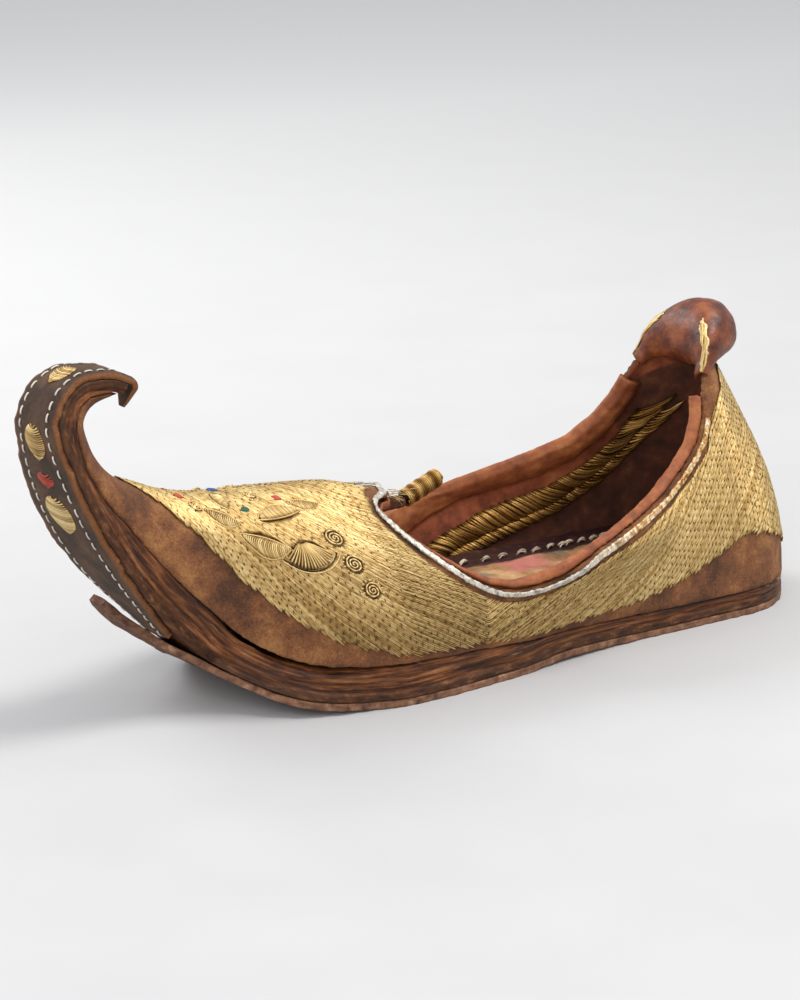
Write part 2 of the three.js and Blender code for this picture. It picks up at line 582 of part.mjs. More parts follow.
function collarRoll() {
  const line = collarLine().slice(TAB_CORNER + 1)
  const depth = (part) => (share) => part * ROLL_DEPTH * Math.min(1, rollSize(share))
  const lists = [0, 0.5, 1].map((part) => edgeStops(line, depth(part), true))
  const inner = -WALL - CLEAR
  const over = 2 * CLEAR
  const section = (t) => {
    const thick = ROLL_THICK * rollSize(2 * Math.min(t, 1 - t))
    return [[2, inner, 0], [1, inner, 0], [0, inner, over], [0, -0.3, over],
      [0, 0.1, over + 0.4 * thick], [0, -0.8, over + 0.9 * thick],
      [0, inner + 0.6, over + 1.1 * thick], [0, inner - 0.6 * thick, over + 0.7 * thick],
      [0, inner - thick, -0.5], [1, inner - 0.9 * thick, 0], [2, inner - 0.4 * thick, 0]]
  }
  return besideWall(sweep(lists, 38, section))
}

// Hood over the heel tab: one section at its front corners, one at the back, as lengths from
// the tab's edge: out is away from the foot, up is up.
function heelCap() {
  const tab = collarLine().slice(0, TAB_CORNER + 1).reverse()
  const stops = edgeStops(tab, () => 0, false).reverse()
  stops[Math.floor(stops.length / 2)].point.y = 0
  const section = (t) => {
    const back = Math.sin(Math.PI * t)
    return HOOD.map((p) => [
      0,
      p.cornerOut + (p.backOut * (p.backOut > 0 ? HOOD_OVERHANG : 1) - p.cornerOut) * back ** 5,
      p.cornerUp + (p.backUp * (p.backUp > 0 ? HOOD_HEIGHT : 1) - p.cornerUp) * back ** 2.8,
    ])
  }
  const sideways = (run) => new THREE.Vector3(-run.y, run.x, 0)
  return besideWall(sweep([stops], 26, section, sideways))
}

// Insole
function insole() {
  const treadHalf = (row) => {
    const s = station(row)
    const height = Math.max(INSOLE_TOP, s.rim.z + INSOLE_THIN)
    let [low, high] = [0, 1]
    for (let i = 0; i < 20; i++) {
      const middle = (low + high) / 2
      if (sectionPoint(row, middle).z < height) low = middle
      else high = middle
    }
    const half = Math.min(s.rimHalf, sectionPoint(row, low).y)
    return { x: s.rim.x, low: s.rim.z, high: height, half }
  }
  const gap = WALL + 3 * CLEAR
  const rows = [1.2, 1.5, 1.9, 2.3, 2.7, ...steps(3, 18.5, 20)]
  const edge = rows.map(treadHalf)
  return loft(edge.map((here, i) => {
    const before = edge[Math.max(0, i - 1)]
    const after = edge[Math.min(edge.length - 1, i + 1)]
    const slope = (after.half - before.half) / (after.x - before.x)
    const tilt = Math.hypot(1, slope)
    const x = here.x + (gap * slope) / tilt
    const half = here.half - gap / tilt
    return [[half, here.low], [half, here.high], [-half, here.high], [-half, here.low]].map(
      ([y, z]) => new THREE.Vector3(x, y, z))
  }))
}

// Knob at the throat: a wound core on a stub of suede under the tongue
const toggleRoot = () => new THREE.Vector3(
  FROM_HEEL(THROAT.tip) - TOGGLE_BACK, 0, THROAT_HEIGHT - WALL - TOGGLE_DROP)

function toggle() {
  const turns = 7
  const profile = [new THREE.Vector2(0, 0)]
  for (let i = 0; i <= 2 * turns; i++) {
    const wound = i % 2 ? 1 : 0.88
    profile.push(new THREE.Vector2(TOGGLE_RADIUS * wound, (TOGGLE_LENGTH * i) / (2 * turns)))
  }
  profile.push(new THREE.Vector2(0, TOGGLE_LENGTH))
  const geometry = new THREE.LatheGeometry(profile, 10)
  geometry.rotateX(Math.PI / 2)
  geometry.rotateY(TOGGLE_RISE - Math.PI / 2)
  const root = toggleRoot()
  geometry.translate(root.x, root.y, root.z)
  return geometry
}

function toggleTab() {
  const root = toggleRoot()
  const top = THROAT_HEIGHT - WALL - ROLL_THICK * ROLL.at(-1).size - CLEAR
  const front = FROM_HEEL(THROAT.tip) + 5
  return loft(steps(0, 1, 4).map((t) => {
    const x = front + (root.x + CLEAR + 0.6 - front) * t
    const half = 4 - 1.4 * t
    const high = top - 0.2 * t
    const low = high - 3.2
    return [[half, low + 0.6], [half, high - 0.6], [half - 0.8, high], [-half + 0.8, high],
      [-half, high - 0.6], [-half, low + 0.6], [-half + 0.8, low], [half - 0.8, low]].map(
      ([y, z]) => new THREE.Vector3(x, y, z))
  }))
}

const SUEDE = { color: 0x5e3a24, roughness: 0.92, metalness: 0 }
const PIECES = {
  outsole: [outsole(), { color: 0x9a6a45, roughness: 0.75, metalness: 0 }],
  midsole: [midsole(), { color: 0x7d4a2c, roughness: 0.7, metalness: 0 }],
  toe_strip: [toeStrip(), { color: 0x6b5647, roughness: 0.85, metalness: 0 }],
  upper: [upper(), { color: 0x9c7430, roughness: 0.55, metalness: 0.35 }],
  insole: [insole(), { color: 0xa9824e, roughness: 0.9, metalness: 0 }],
  collar_roll: [collarRoll(), { color: 0xb08a55, roughness: 0.85, metalness: 0 }],
  piping: [piping(), { color: 0xb9b2a6, roughness: 0.45, metalness: 0.5 }],
  heel_cap: [heelCap(), { color: 0x5a3a30, roughness: 0.4, metalness: 0 }],
  toggle: [toggle(), { color: 0xa98a4a, roughness: 0.45, metalness: 0.4 }],
  toggle_tab: [toggleTab(), SUEDE],
}

const shoe = new THREE.Group()
shoe.name = 'wedding_slipper'
for (const [name, [geometry, look]] of Object.entries(PIECES)) {
  if (!geometry.attributes.normal) geometry.computeVertexNormals()
  const mesh = new THREE.Mesh(geometry, new THREE.MeshStandardMaterial(look))
  mesh.name = name
  mesh.material.name = name
  shoe.add(mesh)
}

export default shoe
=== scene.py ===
"""Wedding slipper with a curled toe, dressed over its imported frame.

Lengths are in millimetres until a mesh is made. +X points to the toe, +Y to the wearer's left and
+Z up. A place on the upper is a row along the last, heel to toe, and a share of the section: 0 at
the near rim, 1 at the crown, 2 at the far rim.
"""

import math

import bpy
import numpy as np
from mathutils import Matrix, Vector
from mathutils.bvhtree import BVHTree


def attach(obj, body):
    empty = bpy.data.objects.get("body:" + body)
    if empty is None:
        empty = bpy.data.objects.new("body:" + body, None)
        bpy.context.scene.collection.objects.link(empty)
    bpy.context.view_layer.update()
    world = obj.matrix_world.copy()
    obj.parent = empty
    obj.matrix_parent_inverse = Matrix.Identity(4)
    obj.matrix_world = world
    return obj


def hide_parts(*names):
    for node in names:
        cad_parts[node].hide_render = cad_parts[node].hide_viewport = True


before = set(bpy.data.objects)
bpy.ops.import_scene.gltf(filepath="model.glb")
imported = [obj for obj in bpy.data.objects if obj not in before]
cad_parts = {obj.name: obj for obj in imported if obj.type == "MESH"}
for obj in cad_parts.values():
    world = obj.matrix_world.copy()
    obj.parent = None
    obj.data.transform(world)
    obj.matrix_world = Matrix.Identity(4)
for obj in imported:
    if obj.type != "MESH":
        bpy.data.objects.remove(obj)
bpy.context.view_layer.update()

# Driving sizes, as in the part
LENGTH = 279.7
HEEL_BACK = 28
BALL_WIDTH = 88
TOE_HEIGHT = 107
EDGE = 13
TAB_HEIGHT = 84
COLLAR_HEIGHT = 46
WALL = 2.2
LAYER = 2.2
WELT = 2.4
WELT_STEP = 0.7
CLEAR = 0.3
HEEL_ROUND = 34
THROAT_HEIGHT = 54.5
TOGGLE_RADIUS = 2.1
TOGGLE_LENGTH = 14.5
TOGGLE_RISE = 0.37
TOGGLE_BACK = 9
TOGGLE_DROP = 2.6
HALF = BALL_WIDTH / 2
METRE = 1000

# The sole and the last, heel to toe, in the columns that COLUMN_NAMES gives
COLUMN_NAMES = ("x", "z", "foot", "rim", "edge", "strip", "crown_x", "crown_z",
                "mid_w", "mid_h", "top_w", "top_h")
ROWS = [
    (0.001, 0, 0.8, 0.805, 0.62, 0, 0.001, 0.09, 0.97, 0.35, 0.7, 0.75),
    (0.005, 0, 0.8, 0.805, 0.62, 0, 0.005, 0.17, 0.96, 0.35, 0.68, 0.76),
    (0.02, 0, 0.8, 0.805, 0.62, 0, 0.02, 0.34, 0.94, 0.35, 0.64, 0.77),
    (0.049, 0, 0.8, 0.805, 0.62, 0, 0.049, 0.54, 0.92, 0.34, 0.6, 0.76),
    (0.099, 0, 0.8, 0.805, 0.62, 0, 0.099, 0.79, 0.92, 0.32, 0.5, 0.74),
    (0.136, 0, 0.8, 0.805, 0.62, 0, 0.136, 0.92, 0.93, 0.3, 0.55, 0.72),
    (0.179, 0, 0.8, 0.805, 0.62, 0, 0.179, 0.86, 0.97, 0.28, 0.69, 0.62),
    (0.225, 0, 0.8, 0.805, 0.63, 0, 0.225, 0.79, 1, 0.25, 0.82, 0.55),
    (0.268, 0, 0.8, 0.81, 0.64, 0, 0.268, 0.7, 1.03, 0.25, 0.97, 0.55),
    (0.333, 0.005, 0.82, 0.825, 0.65, 0, 0.333, 0.57, 1.08, 0.28, 1.12, 0.6),
    (0.401, 0.009, 0.86, 0.865, 0.68, 0, 0.401, 0.52, 1.12, 0.3, 1.1, 0.62),
    (0.472, 0, 0.93, 0.935, 0.8, 0, 0.472, 0.515, 1.04, 0.3, 0.92, 0.66),
    (0.529, 0, 0.97, 0.97, 0.9, 0, 0.529, 0.508, 1, 0.3, 0.8, 0.68),
    (0.59, 0, 1, 1, 0.97, 0, 0.59, 0.527, 0.98, 0.32, 0.62, 0.71),
    (0.636, 0, 1, 1, 1, 0, 0.636, 0.556, 0.98, 0.32, 0.62, 0.72),
    (0.676, 0.004, 0.943, 0.943, 1, 0, 0.669, 0.566, 0.98, 0.32, 0.64, 0.72),
    (0.715, 0.012, 0.886, 0.875, 1, 0, 0.701, 0.573, 0.98, 0.33, 0.66, 0.73),
    (0.747, 0.026, 0.807, 0.795, 1, 0, 0.729, 0.579, 0.98, 0.34, 0.68, 0.74),
    (0.776, 0.05, 0.66, 0.693, 1, 0, 0.756, 0.584, 0.98, 0.35, 0.7, 0.75),
    (0.801, 0.084, 0.477, 0.6, 1, 0, 0.782, 0.589, 0.98, 0.36, 0.72, 0.76),
    (0.826, 0.13, 0.307, 0.523, 1, 0.04, 0.804, 0.595, 0.97, 0.36, 0.7, 0.77),
    (0.851, 0.196, 0.295, 0.455, 1, 0.12, 0.828, 0.606, 0.97, 0.37, 0.7, 0.78),
    (0.881, 0.28, 0.33, 0.41, 0.96, 0.22, 0.851, 0.622, 0.96, 0.39, 0.68, 0.79),
    (0.921, 0.402, 0.398, 0.364, 0.93, 0.36, 0.877, 0.65, 0.93, 0.4, 0.62, 0.8),
    (0.952, 0.523, 0.416, 0.341, 0.84, 0.385, 0.904, 0.682, 0.9, 0.4, 0.55, 0.8),
    (0.972, 0.626, 0.398, 0.307, 0.67, 0.37, 0.924, 0.729, 0.88, 0.4, 0.5, 0.8),
    (0.989, 0.748, 0.33, 0.273, 0.58, 0.31, 0.939, 0.794, 0.86, 0.4, 0.48, 0.8),
    (0.998, 0.86, 0.273, 0.25, 0.62, 0.255, 0.946, 0.855, 0.86, 0.4, 0.48, 0.8),
    (0.982, 0.958, 0.239, 0.227, 0.58, 0.225, 0.94, 0.882, 0.86, 0.4, 0.5, 0.8),
    (0.949, 1, 0.216, 0.205, 0.54, 0.205, 0.932, 0.9, 0.88, 0.42, 0.55, 0.82),
    (0.92, 0.995, 0.193, 0.182, 0.5, 0.185, 0.918, 0.915, 0.9, 0.42, 0.6, 0.84),
    (0.896, 0.972, 0.159, 0.148, 0.46, 0.155, 0.9, 0.922, 0.9, 0.42, 0.6, 0.84),
]
LAST = len(ROWS) - 1
COLUMNS = dict(zip(COLUMN_NAMES, np.array(ROWS).T))

# Side view of the collar, from the tab to the tip of the tongue: x as a share of LENGTH, z as a
# share of COLLAR_HEIGHT
COLLAR = [(0.099, 1.82), (0.123, 1.78), (0.142, 1.68), (0.151, 1.56), (0.158, 1.43),
          (0.176, 1.26), (0.207, 1.11), (0.247, 0.995), (0.286, 0.925), (0.333, 0.85),
          (0.379, 0.775), (0.414, 0.69), (0.447, 0.63), (0.479, 0.61), (0.508, 0.635),
          (0.536, 0.71), (0.56, 0.82), (0.579, 0.93), (0.594, 1.035), (0.602, 1.115)]
THROAT = {"front": 0.603, "notch": 1.15, "root": 1.172, "tip": 0.563, "corner": 4}
BORDER = 3.5  # bare suede between the collar's edge and the threads

# Top of the threads round the heel: x as a share of LENGTH, z as a share of TAB_HEIGHT
FIELD_TOP = [(-1, 0.95), (0.089, 0.94), (0.114, 0.885), (0.132, 0.84), (0.147, 0.785),
             (0.159, 0.72)]
FIELD_FIRST_ROW = 5

# Lower edge of the threads: place along ROWS and share of the section
THREAD_EDGE = [(0, 0.32), (5, 0.24), (7, 0.17), (9, 0.1), (11, 0.05), (14, 0.06), (16, 0.17),
               (18, 0.28), (20, 0.42), (22, 0.62), (24, 0.97)]
THREAD_END = 24.2

rng = np.random.default_rng(20)


def jitter(size=None):
    """Random numbers between -1 and 1."""
    return rng.uniform(-1, 1, size)


# The last
def unit(vectors):
    return vectors / np.maximum(np.linalg.norm(vectors, axis=-1, keepdims=True), 1e-9)


def walk(points):
    """How far along a line of points each of them lies."""
    return np.concatenate([[0], np.cumsum(np.linalg.norm(np.diff(points, axis=0), axis=1))])


def on_line(x, y=0):
    """Places for a noise that changes along a line, and from line to line with y."""
    return np.stack([x, 0 * x + y, 0 * x], 1)


def aside(y):
    """Steps to the side by y."""
    return np.stack([0 * y, y, 0 * y], 1)


def picker(stops, path):
    """Reads a table of points, which lie at path, at the stops."""
    return lambda values: np.array([np.interp(stops, path, values[:, k]) for k in range(3)]).T


def along(values, at):
    """Numbers along a table, with a smooth curve that never runs past its rows."""
    values = np.asarray(values, float)
    last = len(values) - 1
    t = np.clip(at, 0, last)
    i = np.minimum(t.astype(int), last - 1)
    step = np.diff(values)
    before, after = step[:-1], step[1:]
    both = before * after
    inner = np.where(both <= 0, 0, 2 * both / np.where(both <= 0, 1, before + after))
    slope = np.concatenate([[step[0]], inner, [step[-1]]])
    f = t - i
    a, b, da, db = values[i], values[i + 1], slope[i], slope[i + 1]
    return a + f * (da + f * (3 * (b - a) - 2 * da - db + f * (da + db - 2 * (b - a))))


def column(name, row):
    return along(COLUMNS[name], np.asarray(row, float))


def from_heel(share):
    return share * LENGTH - HEEL_BACK


def heel_round(x):
    """The heel's plan is round: half-widths shrink towards its back."""
    inset = np.clip((HEEL_ROUND - HEEL_BACK - x) / HEEL_ROUND, 0, 1)
    return np.sqrt(np.maximum(0, 1 - inset ** 2))


def station(row):
    """The sole's bottom, the rim above it and the crown, for an array of rows."""
    row = np.asarray(row, float)
    line = lambda r: np.stack([from_heel(column("x", r)), 0 * r, TOE_HEIGHT * column("z", r)], -1)
    step = 0.02
    bottom = line(row)
    run = unit(line(np.minimum(row + step, LAST)) - line(np.maximum(row - step, 0)))
    inward = np.stack([-run[..., 2], 0 * row, run[..., 0]], -1)
    edge = EDGE * column("edge", row)
    rim = bottom + inward * edge[..., None]
    crown = np.stack([from_heel(column("crown_x", row)), 0 * row,
                      TOE_HEIGHT * column("crown_z", row)], -1)
    width = HALF * heel_round(bottom[..., 0])
    return {"bottom": bottom, "inward": inward, "edge": edge, "rim": rim, "crown": crown,
            "foot": column("foot", row) * width, "half": column("rim", row) * width}


def section_point(row, share):
    """A point of the last's section, through seven places joined by a smooth curve."""
    row, share = np.broadcast_arrays(np.asarray(row, float), np.asarray(share, float))
    s = station(row)
    one = np.ones_like(row)
    quarter = [(one, 0 * one), (column("mid_w", row), column("mid_h", row)),
               (column("top_w", row), column("top_h", row)), (0 * one, one)]
    knots = quarter + [(-w, h) for w, h in quarter[2::-1]]
    ahead = tuple(2 * a - b for a, b in zip(knots[0], knots[1]))
    after = tuple(2 * a - b for a, b in zip(knots[-1], knots[-2]))
    knots = np.array([ahead, *knots, after])
    place = np.clip(share, 0, 2) * 3
    i = np.minimum(place.astype(int), 5)
    f = place - i
    pick = lambda k: np.take_along_axis(knots, (i + k)[None, None], 0)[0]
    a, b, c, d = pick(0), pick(1), pick(2), pick(3)
    out, back = 0.5 * (c - a), 0.5 * (d - b)
    w, h = b + f * (out + f * (3 * (c - b) - 2 * out - back + f * (2 * (b - c) + out + back)))
    point = s["rim"] + (s["crown"] - s["rim"]) * h[..., None]
    point[..., 1] = w * s["half"]
    return point


def surface(row, share, lift=0.0):
    """Points of the last, moved out along its normals, and those normals."""
    step = 0.01
    row, share = np.broadcast_arrays(np.asarray(row, float), np.asarray(share, float))
    ahead, over = np.minimum(row + step, LAST), np.minimum(share + step, 2)
    run = section_point(ahead, share) - section_point(ahead - step, share)
    round_ = section_point(row, over) - section_point(row, over - step)
    normal = unit(np.cross(round_, run))
    return section_point(row, share) + normal * np.asarray(lift)[..., None], normal


# Meshes
def make_mesh(name, points, faces, **values):
    """A smooth mesh object from points in mm and face arrays, with a number for each point."""
    mesh = bpy.data.meshes.new(name)
    faces = [np.asarray(f, np.int32) for f in faces if len(f)]
    sizes = np.concatenate([np.full(len(f), f.shape[1], np.int32) for f in faces])
    corners = np.concatenate([f.ravel() for f in faces])
    mesh.vertices.add(len(points))
    mesh.vertices.foreach_set("co", (np.asarray(points, np.float32) / METRE).ravel())
    mesh.loops.add(len(corners))
    mesh.loops.foreach_set("vertex_index", corners)
    mesh.polygons.add(len(sizes))
    mesh.polygons.foreach_set("loop_start", np.concatenate([[0], np.cumsum(sizes)[:-1]]))
    mesh.update(calc_edges=True)
    mesh.polygons.foreach_set("use_smooth", np.ones(len(sizes), bool))
    for key, numbers in values.items():
        mark(mesh, key, numbers)
    thing = bpy.data.objects.new(name, mesh)
    bpy.context.scene.collection.objects.link(thing)
    return thing


def mark(mesh, key, numbers):
    """One number for each point, which the materials read by name."""
    layer = mesh.attributes.new(key, "FLOAT", "POINT")
    layer.data.foreach_set("value", np.asarray(numbers, np.float32))


def points_of(mesh):
    points = np.zeros(len(mesh.vertices) * 3, np.float32)
    mesh.vertices.foreach_get("co", points)
    return points.reshape(-1, 3).astype(float) * METRE


def normals_of(mesh):
    normals = np.zeros(len(mesh.vertices) * 3, np.float32)
    mesh.vertices.foreach_get("normal", normals)
    return normals.reshape(-1, 3).astype(float)


def set_points(mesh, points):
    mesh.vertices.foreach_set("co", (points / METRE).astype(np.float32).ravel())
    mesh.update()


def relax(mesh, rounds, pull=0.5, push=-0.52):
    """Evens a mesh out without shrinking it."""
    points = points_of(mesh)
    edges = np.zeros(len(mesh.edges) * 2, np.int32)
    mesh.edges.foreach_get("vertices", edges)
    a, b = edges.reshape(-1, 2).T
    count = np.bincount(np.concatenate([a, b]), minlength=len(points))[:, None]
    for _ in range(rounds):
        for weight in (pull, push):
            total = np.zeros_like(points)
            for axis in range(3):
                total[:, axis] = (np.bincount(a, points[b, axis], len(points))
                                  + np.bincount(b, points[a, axis], len(points)))
            points += weight * (total / count - points)
    set_points(mesh, points)


def remeshed(node, name, voxel, rounds=3):
    """A new even mesh with the form of a CAD node."""
    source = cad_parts[node].data
    thing = bpy.data.objects.new(name, source.copy())
    bpy.context.scene.collection.objects.link(thing)
    grid = thing.modifiers.new("grid", "REMESH")
    grid.mode = "VOXEL"
    grid.voxel_size = voxel / METRE
    bpy.context.view_layer.update()
    depsgraph = bpy.context.evaluated_depsgraph_get()
    mesh = bpy.data.meshes.new_from_object(thing.evaluated_get(depsgraph))
    thing.modifiers.clear()
    thing.data = mesh
    mesh.materials.clear()
    mesh.polygons.foreach_set("use_smooth", np.ones(len(mesh.polygons), bool))
    relax(mesh, rounds)
    return thing


def lattice(corner, seed):
    """A repeatable number between -1 and 1 for each whole-number place."""
    x, y, z = corner[..., 0], corner[..., 1], corner[..., 2]
    mixed = np.sin(x * 127.1 + y * 311.7 + z * 74.7 + seed * 53.3) * 43758.5453
    return 2 * (mixed - np.floor(mixed)) - 1


def noise(points, size, seed=0, octaves=1):
    """Smooth value noise between about -1 and 1. size: the length of a lump in mm."""
    total = 0
    for octave in range(octaves):
        place = np.asarray(points, float) / np.asarray(size, float) * 2 ** octave
        base = np.floor(place)
        f = place - base
        f = f * f * (3 - 2 * f)
        value = 0
        for dx in (0, 1):
            for dy in (0, 1):
                for dz in (0, 1):
                    weight = ((f[..., 0] if dx else 1 - f[..., 0])
                              * (f[..., 1] if dy else 1 - f[..., 1])
                              * (f[..., 2] if dz else 1 - f[..., 2]))
                    value = value + weight * lattice(base + (dx, dy, dz), seed + octave)
        total = total + value * 0.5 ** octave
    return total


class Strands:
    """Many tubes gathered into one mesh. tone: a shade for each point, with painted shade that
    makes each tube darker low down, between the threads.
    """

    def __init__(self):
        self.points, self.quads, self.caps, self.tones, self.total = [], [], [], [], 0

    def add(self, path, normals, across, up, tone, sides, deep):
        """One tube. across and up: its half-sizes, one number or one for each place."""
        self.add_many(np.asarray(path)[None], np.asarray(normals)[None], across, up, tone, sides,
                      deep)

    def add_many(self, paths, normals, across, up, tone, sides, deep):
        """Tubes of equally many places, as arrays of tube, place and axis."""
        paths = np.asarray(paths, float)
        tubes, count = paths.shape[:2]
        run = unit(np.gradient(paths, axis=1))
        side = unit(np.cross(run, normals))
        over = np.cross(side, run)
        across = np.broadcast_to(across, (tubes, count))[..., None, None]
        up = np.broadcast_to(up, (tubes, count))[..., None, None]
        angle = np.arange(sides) * 2 * np.pi / sides
        ring = (paths[:, :, None] + over[:, :, None] * up * np.cos(angle)[:, None]
                + side[:, :, None] * across * np.sin(angle)[:, None])
        first = self.total + np.arange(tubes) * count * sides
        start = first[:, None, None] + np.arange(count - 1)[:, None] * sides
        here = np.arange(sides)
        after = (here + 1) % sides
        self.quads.append(np.stack([start + here, start + after, start + sides + after,
                                    start + sides + here], -1).reshape(-1, 4))
        last = first + (count - 1) * sides
        self.caps.append(np.concatenate([first[:, None] + here[::-1], last[:, None] + here]))
        self.points.append(ring.reshape(-1, 3))
        # Painted shade: each ring is darker by deep towards its lower side, where shade falls
        # between neighbouring threads.
        shade = (np.broadcast_to(tone, (tubes, count))[..., None]
                 - deep * (0.5 - 0.5 * np.cos(angle)))
        self.tones.append(shade.ravel())
        self.total += tubes * count * sides

    def finish(self, name, material, slot):
        thing = make_mesh(name, np.concatenate(self.points),
                          [np.concatenate(self.quads), *self.caps],
                          tone=np.concatenate(self.tones))
        return dress(thing, material, slot)


def lofted(name, rings, **values):
    """A closed mesh through rings of equally many points."""
    rings = np.asarray(rings, float)
    rows, count = rings.shape[:2]
    start = np.arange(rows - 1)[:, None] * count
    here, after = np.arange(count)[None], (np.arange(count)[None] + 1) % count
    quads = np.stack([start + here, start + after, start + count + after, start + count + here],
                     -1).reshape(-1, 4)
    half = count // 2
    ladder = lambda first, flip: [
        [first + k, first + k + 1, first + count - 2 - k, first + count - 1 - k][::flip]
        for k in range(half - 1)]
    ends = ladder(0, 1) + ladder((rows - 1) * count, -1)
    thing = make_mesh(name, rings.reshape(-1, 3), [quads, ends], **values)
    mesh = thing.data
    corners = points_of(mesh)
    tri = quads[:, :3]
    volume = np.einsum("ij,ij->i", corners[tri[:, 0]],
                       np.cross(corners[tri[:, 1]], corners[tri[:, 2]])).sum()
    if volume < 0:
        mesh.flip_normals()
    return thing


# Materials
def rgb(code):
    """Linear colour from a six-digit one."""
    parts = [int(code[i:i + 2], 16) / 255 for i in (0, 2, 4)]
    return tuple(((c + 0.055) / 1.055) ** 2.4 if c > 0.04 else c / 12.92 for c in parts) + (1,)


class Look:
    """A procedural material being put together."""

    def __init__(self, name, **sockets):
        self.material = bpy.data.materials.new(name)
        self.material.use_nodes = True
        self.tree = self.material.node_tree
        self.shader = self.tree.nodes["Principled BSDF"]
        for socket, value in sockets.items():
            self.shader.inputs[socket.replace("_", " ")].default_value = value
        self.last_bump = None

    def put(self, socket, value):
        """A link or a plain value into a socket."""
        if isinstance(value, bpy.types.NodeSocket):
            self.tree.links.new(value, socket)
        elif value is not None:
            socket.default_value = value

    def node(self, kind, out=0, inputs=None, **settings):
        made = self.tree.nodes.new("ShaderNode" + kind)
        for key, value in settings.items():
            setattr(made, key, value)
        for key, value in (inputs or {}).items():
            self.put(made.inputs[key], value)
        return made.outputs[out]

    def place(self, stretch=(1, 1, 1), turn=(0, 0, 0), where=None):
        if where is None:
            where = self.node("TexCoord", "Object")
        return self.node("Mapping", 0, {"Vector": where, "Scale": stretch, "Rotation": turn})

    def noise(self, size, detail=4, rough=0.55, stretch=(1, 1, 1), where=None):
        """size: the length of a lump in mm. where: places in mm, or the object's own."""
        scale = METRE / size if where is None else 1 / size
        return self.node("TexNoise", 0, {"Vector": self.place(stretch, where=where),
                                         "Scale": scale, "Detail": detail, "Roughness": rough})

    def cells(self, size):
        return self.node("TexVoronoi", 0, {"Vector": self.place(), "Scale": METRE / size})

    def math(self, operation, a, b):
        return self.node("Math", 0, {0: a, 1: b}, operation=operation)

    def times(self, a, b):
        return self.math("MULTIPLY", a, b)

    def stirred(self, value, disturbance, share):
        """A value moved up and down by a noise."""
        return self.math("ADD", value, self.times(self.math("SUBTRACT", disturbance, 0.5), share))

    def span(self, value, low, high, to_low=0.0, to_high=1.0):
        """value between low and high, as to_low to to_high, held at its ends."""
        return self.node("MapRange", 0, {0: value, 1: low, 2: high, 3: to_low, 4: to_high})

    def attribute(self, name):
        return self.node("Attribute", 2, attribute_name=name)

    def mix(self, share, a, b):
        return self.node("Mix", 2, {0: share, 6: a, 7: b}, data_type="RGBA")

    def ramp(self, value, *stops):
        out = self.node("ValToRGB", 0, {0: value})
        band = out.node.color_ramp
        while len(band.elements) < len(stops):
            band.elements.new(0.5)
        for element, (place, colour) in zip(band.elements, stops):
            element.position = place
            element.color = rgb(colour)
        return out

    def bump(self, height, depth, strength=1.0):
        """depth: how far the full height stands out, in mm."""
        self.last_bump = self.node("Bump", 0, {"Height": height, "Distance": depth / METRE,
                                               "Strength": strength, "Normal": self.last_bump})
        self.put(self.shader.inputs["Normal"], self.last_bump)

    def colour(self, value):
        self.put(self.shader.inputs["Base Color"], value)

    def roughness(self, value):
        self.put(self.shader.inputs["Roughness"], value)


def dress(thing, material, slot, *nodes):
    """Gives a piece its material and body, and hides the nodes that it stands for; slot is not
    used.
    """
    thing.data.materials.clear()
    thing.data.materials.append(material)
    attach(thing, "root")
    if nodes:
        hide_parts(*nodes)
    return thing


# Shared places on the upper
ROW_STEPS, SHARE_STEPS = 620, 160
GRID_ROWS = np.linspace(0, LAST, ROW_STEPS + 1)
GRID_SHARES = np.linspace(0, 2, SHARE_STEPS + 1)
GRID_POINTS, GRID_NORMALS = surface(GRID_ROWS[:, None], GRID_SHARES[None, :])
ARC_SHARES = np.linspace(0, 1, SHARE_STEPS // 2 + 1)
ARCS = np.cumsum(np.concatenate([
    np.zeros((len(GRID_ROWS), 1)),
    np.linalg.norm(np.diff(GRID_POINTS[:, :len(ARC_SHARES)], axis=1), axis=2)], 1), 1)


def edge_share(row):
    rows, shares = zip(*THREAD_EDGE)
    return np.interp(row, rows, shares)


PAST_CROWN = 9


def share_above(row, rise):
    """The share that lies rise mm above the threads' lower edge, on the near side."""
    row, rise = np.broadcast_arrays(np.asarray(row, float), np.asarray(rise, float))
    place = np.clip(row / GRID_ROWS[1], 0, len(GRID_ROWS) - 1.001)
    i = place.astype(int)
    arcs = ARCS[i] + (place - i)[:, None] * (ARCS[i + 1] - ARCS[i])
    lines = np.arange(len(row))
    start = edge_share(row) / ARC_SHARES[1]
    j = np.minimum(start.astype(int), len(ARC_SHARES) - 2)
    target = arcs[lines, j] + (start - j) * (arcs[lines, j + 1] - arcs[lines, j]) + rise
    above = np.clip((arcs < target[:, None]).sum(1), 1, len(ARC_SHARES) - 1)
    low, high = arcs[lines, above - 1], arcs[lines, above]
    share = ARC_SHARES[above - 1] + ARC_SHARES[1] * (target - low) / (high - low)
    return np.where(target > arcs[:, -1], PAST_CROWN, share)


def opening_outline(margin):
    """Side view of what is cut away above the collar, grown by a margin."""
    line = [(from_heel(x), COLLAR_HEIGHT * z) for x, z in COLLAR]
    line.append((from_heel(THROAT["front"]), COLLAR_HEIGHT * THROAT["notch"]))
    line = np.array(line)
    ahead = np.roll(line, -1, 0)
    ahead[-1] = line[-1]
    behind = np.roll(line, 1, 0)
    behind[0] = line[0]
    run = unit(ahead - behind)
    moved = line + margin * np.stack([run[:, 1], -run[:, 0]], 1)
    root = COLLAR_HEIGHT * THROAT["root"] + 0.6 * margin
    front = from_heel(THROAT["front"]) + margin
    tip = from_heel(THROAT["tip"]) + margin
    start = [(from_heel(x), TAB_HEIGHT * z) for x, z in FIELD_TOP]
    return np.array([*start, *moved[FIELD_FIRST_ROW:], (front - THROAT["corner"], root),
                     (tip, root), (tip, 2 * TOE_HEIGHT), (-LENGTH, 2 * TOE_HEIGHT)])


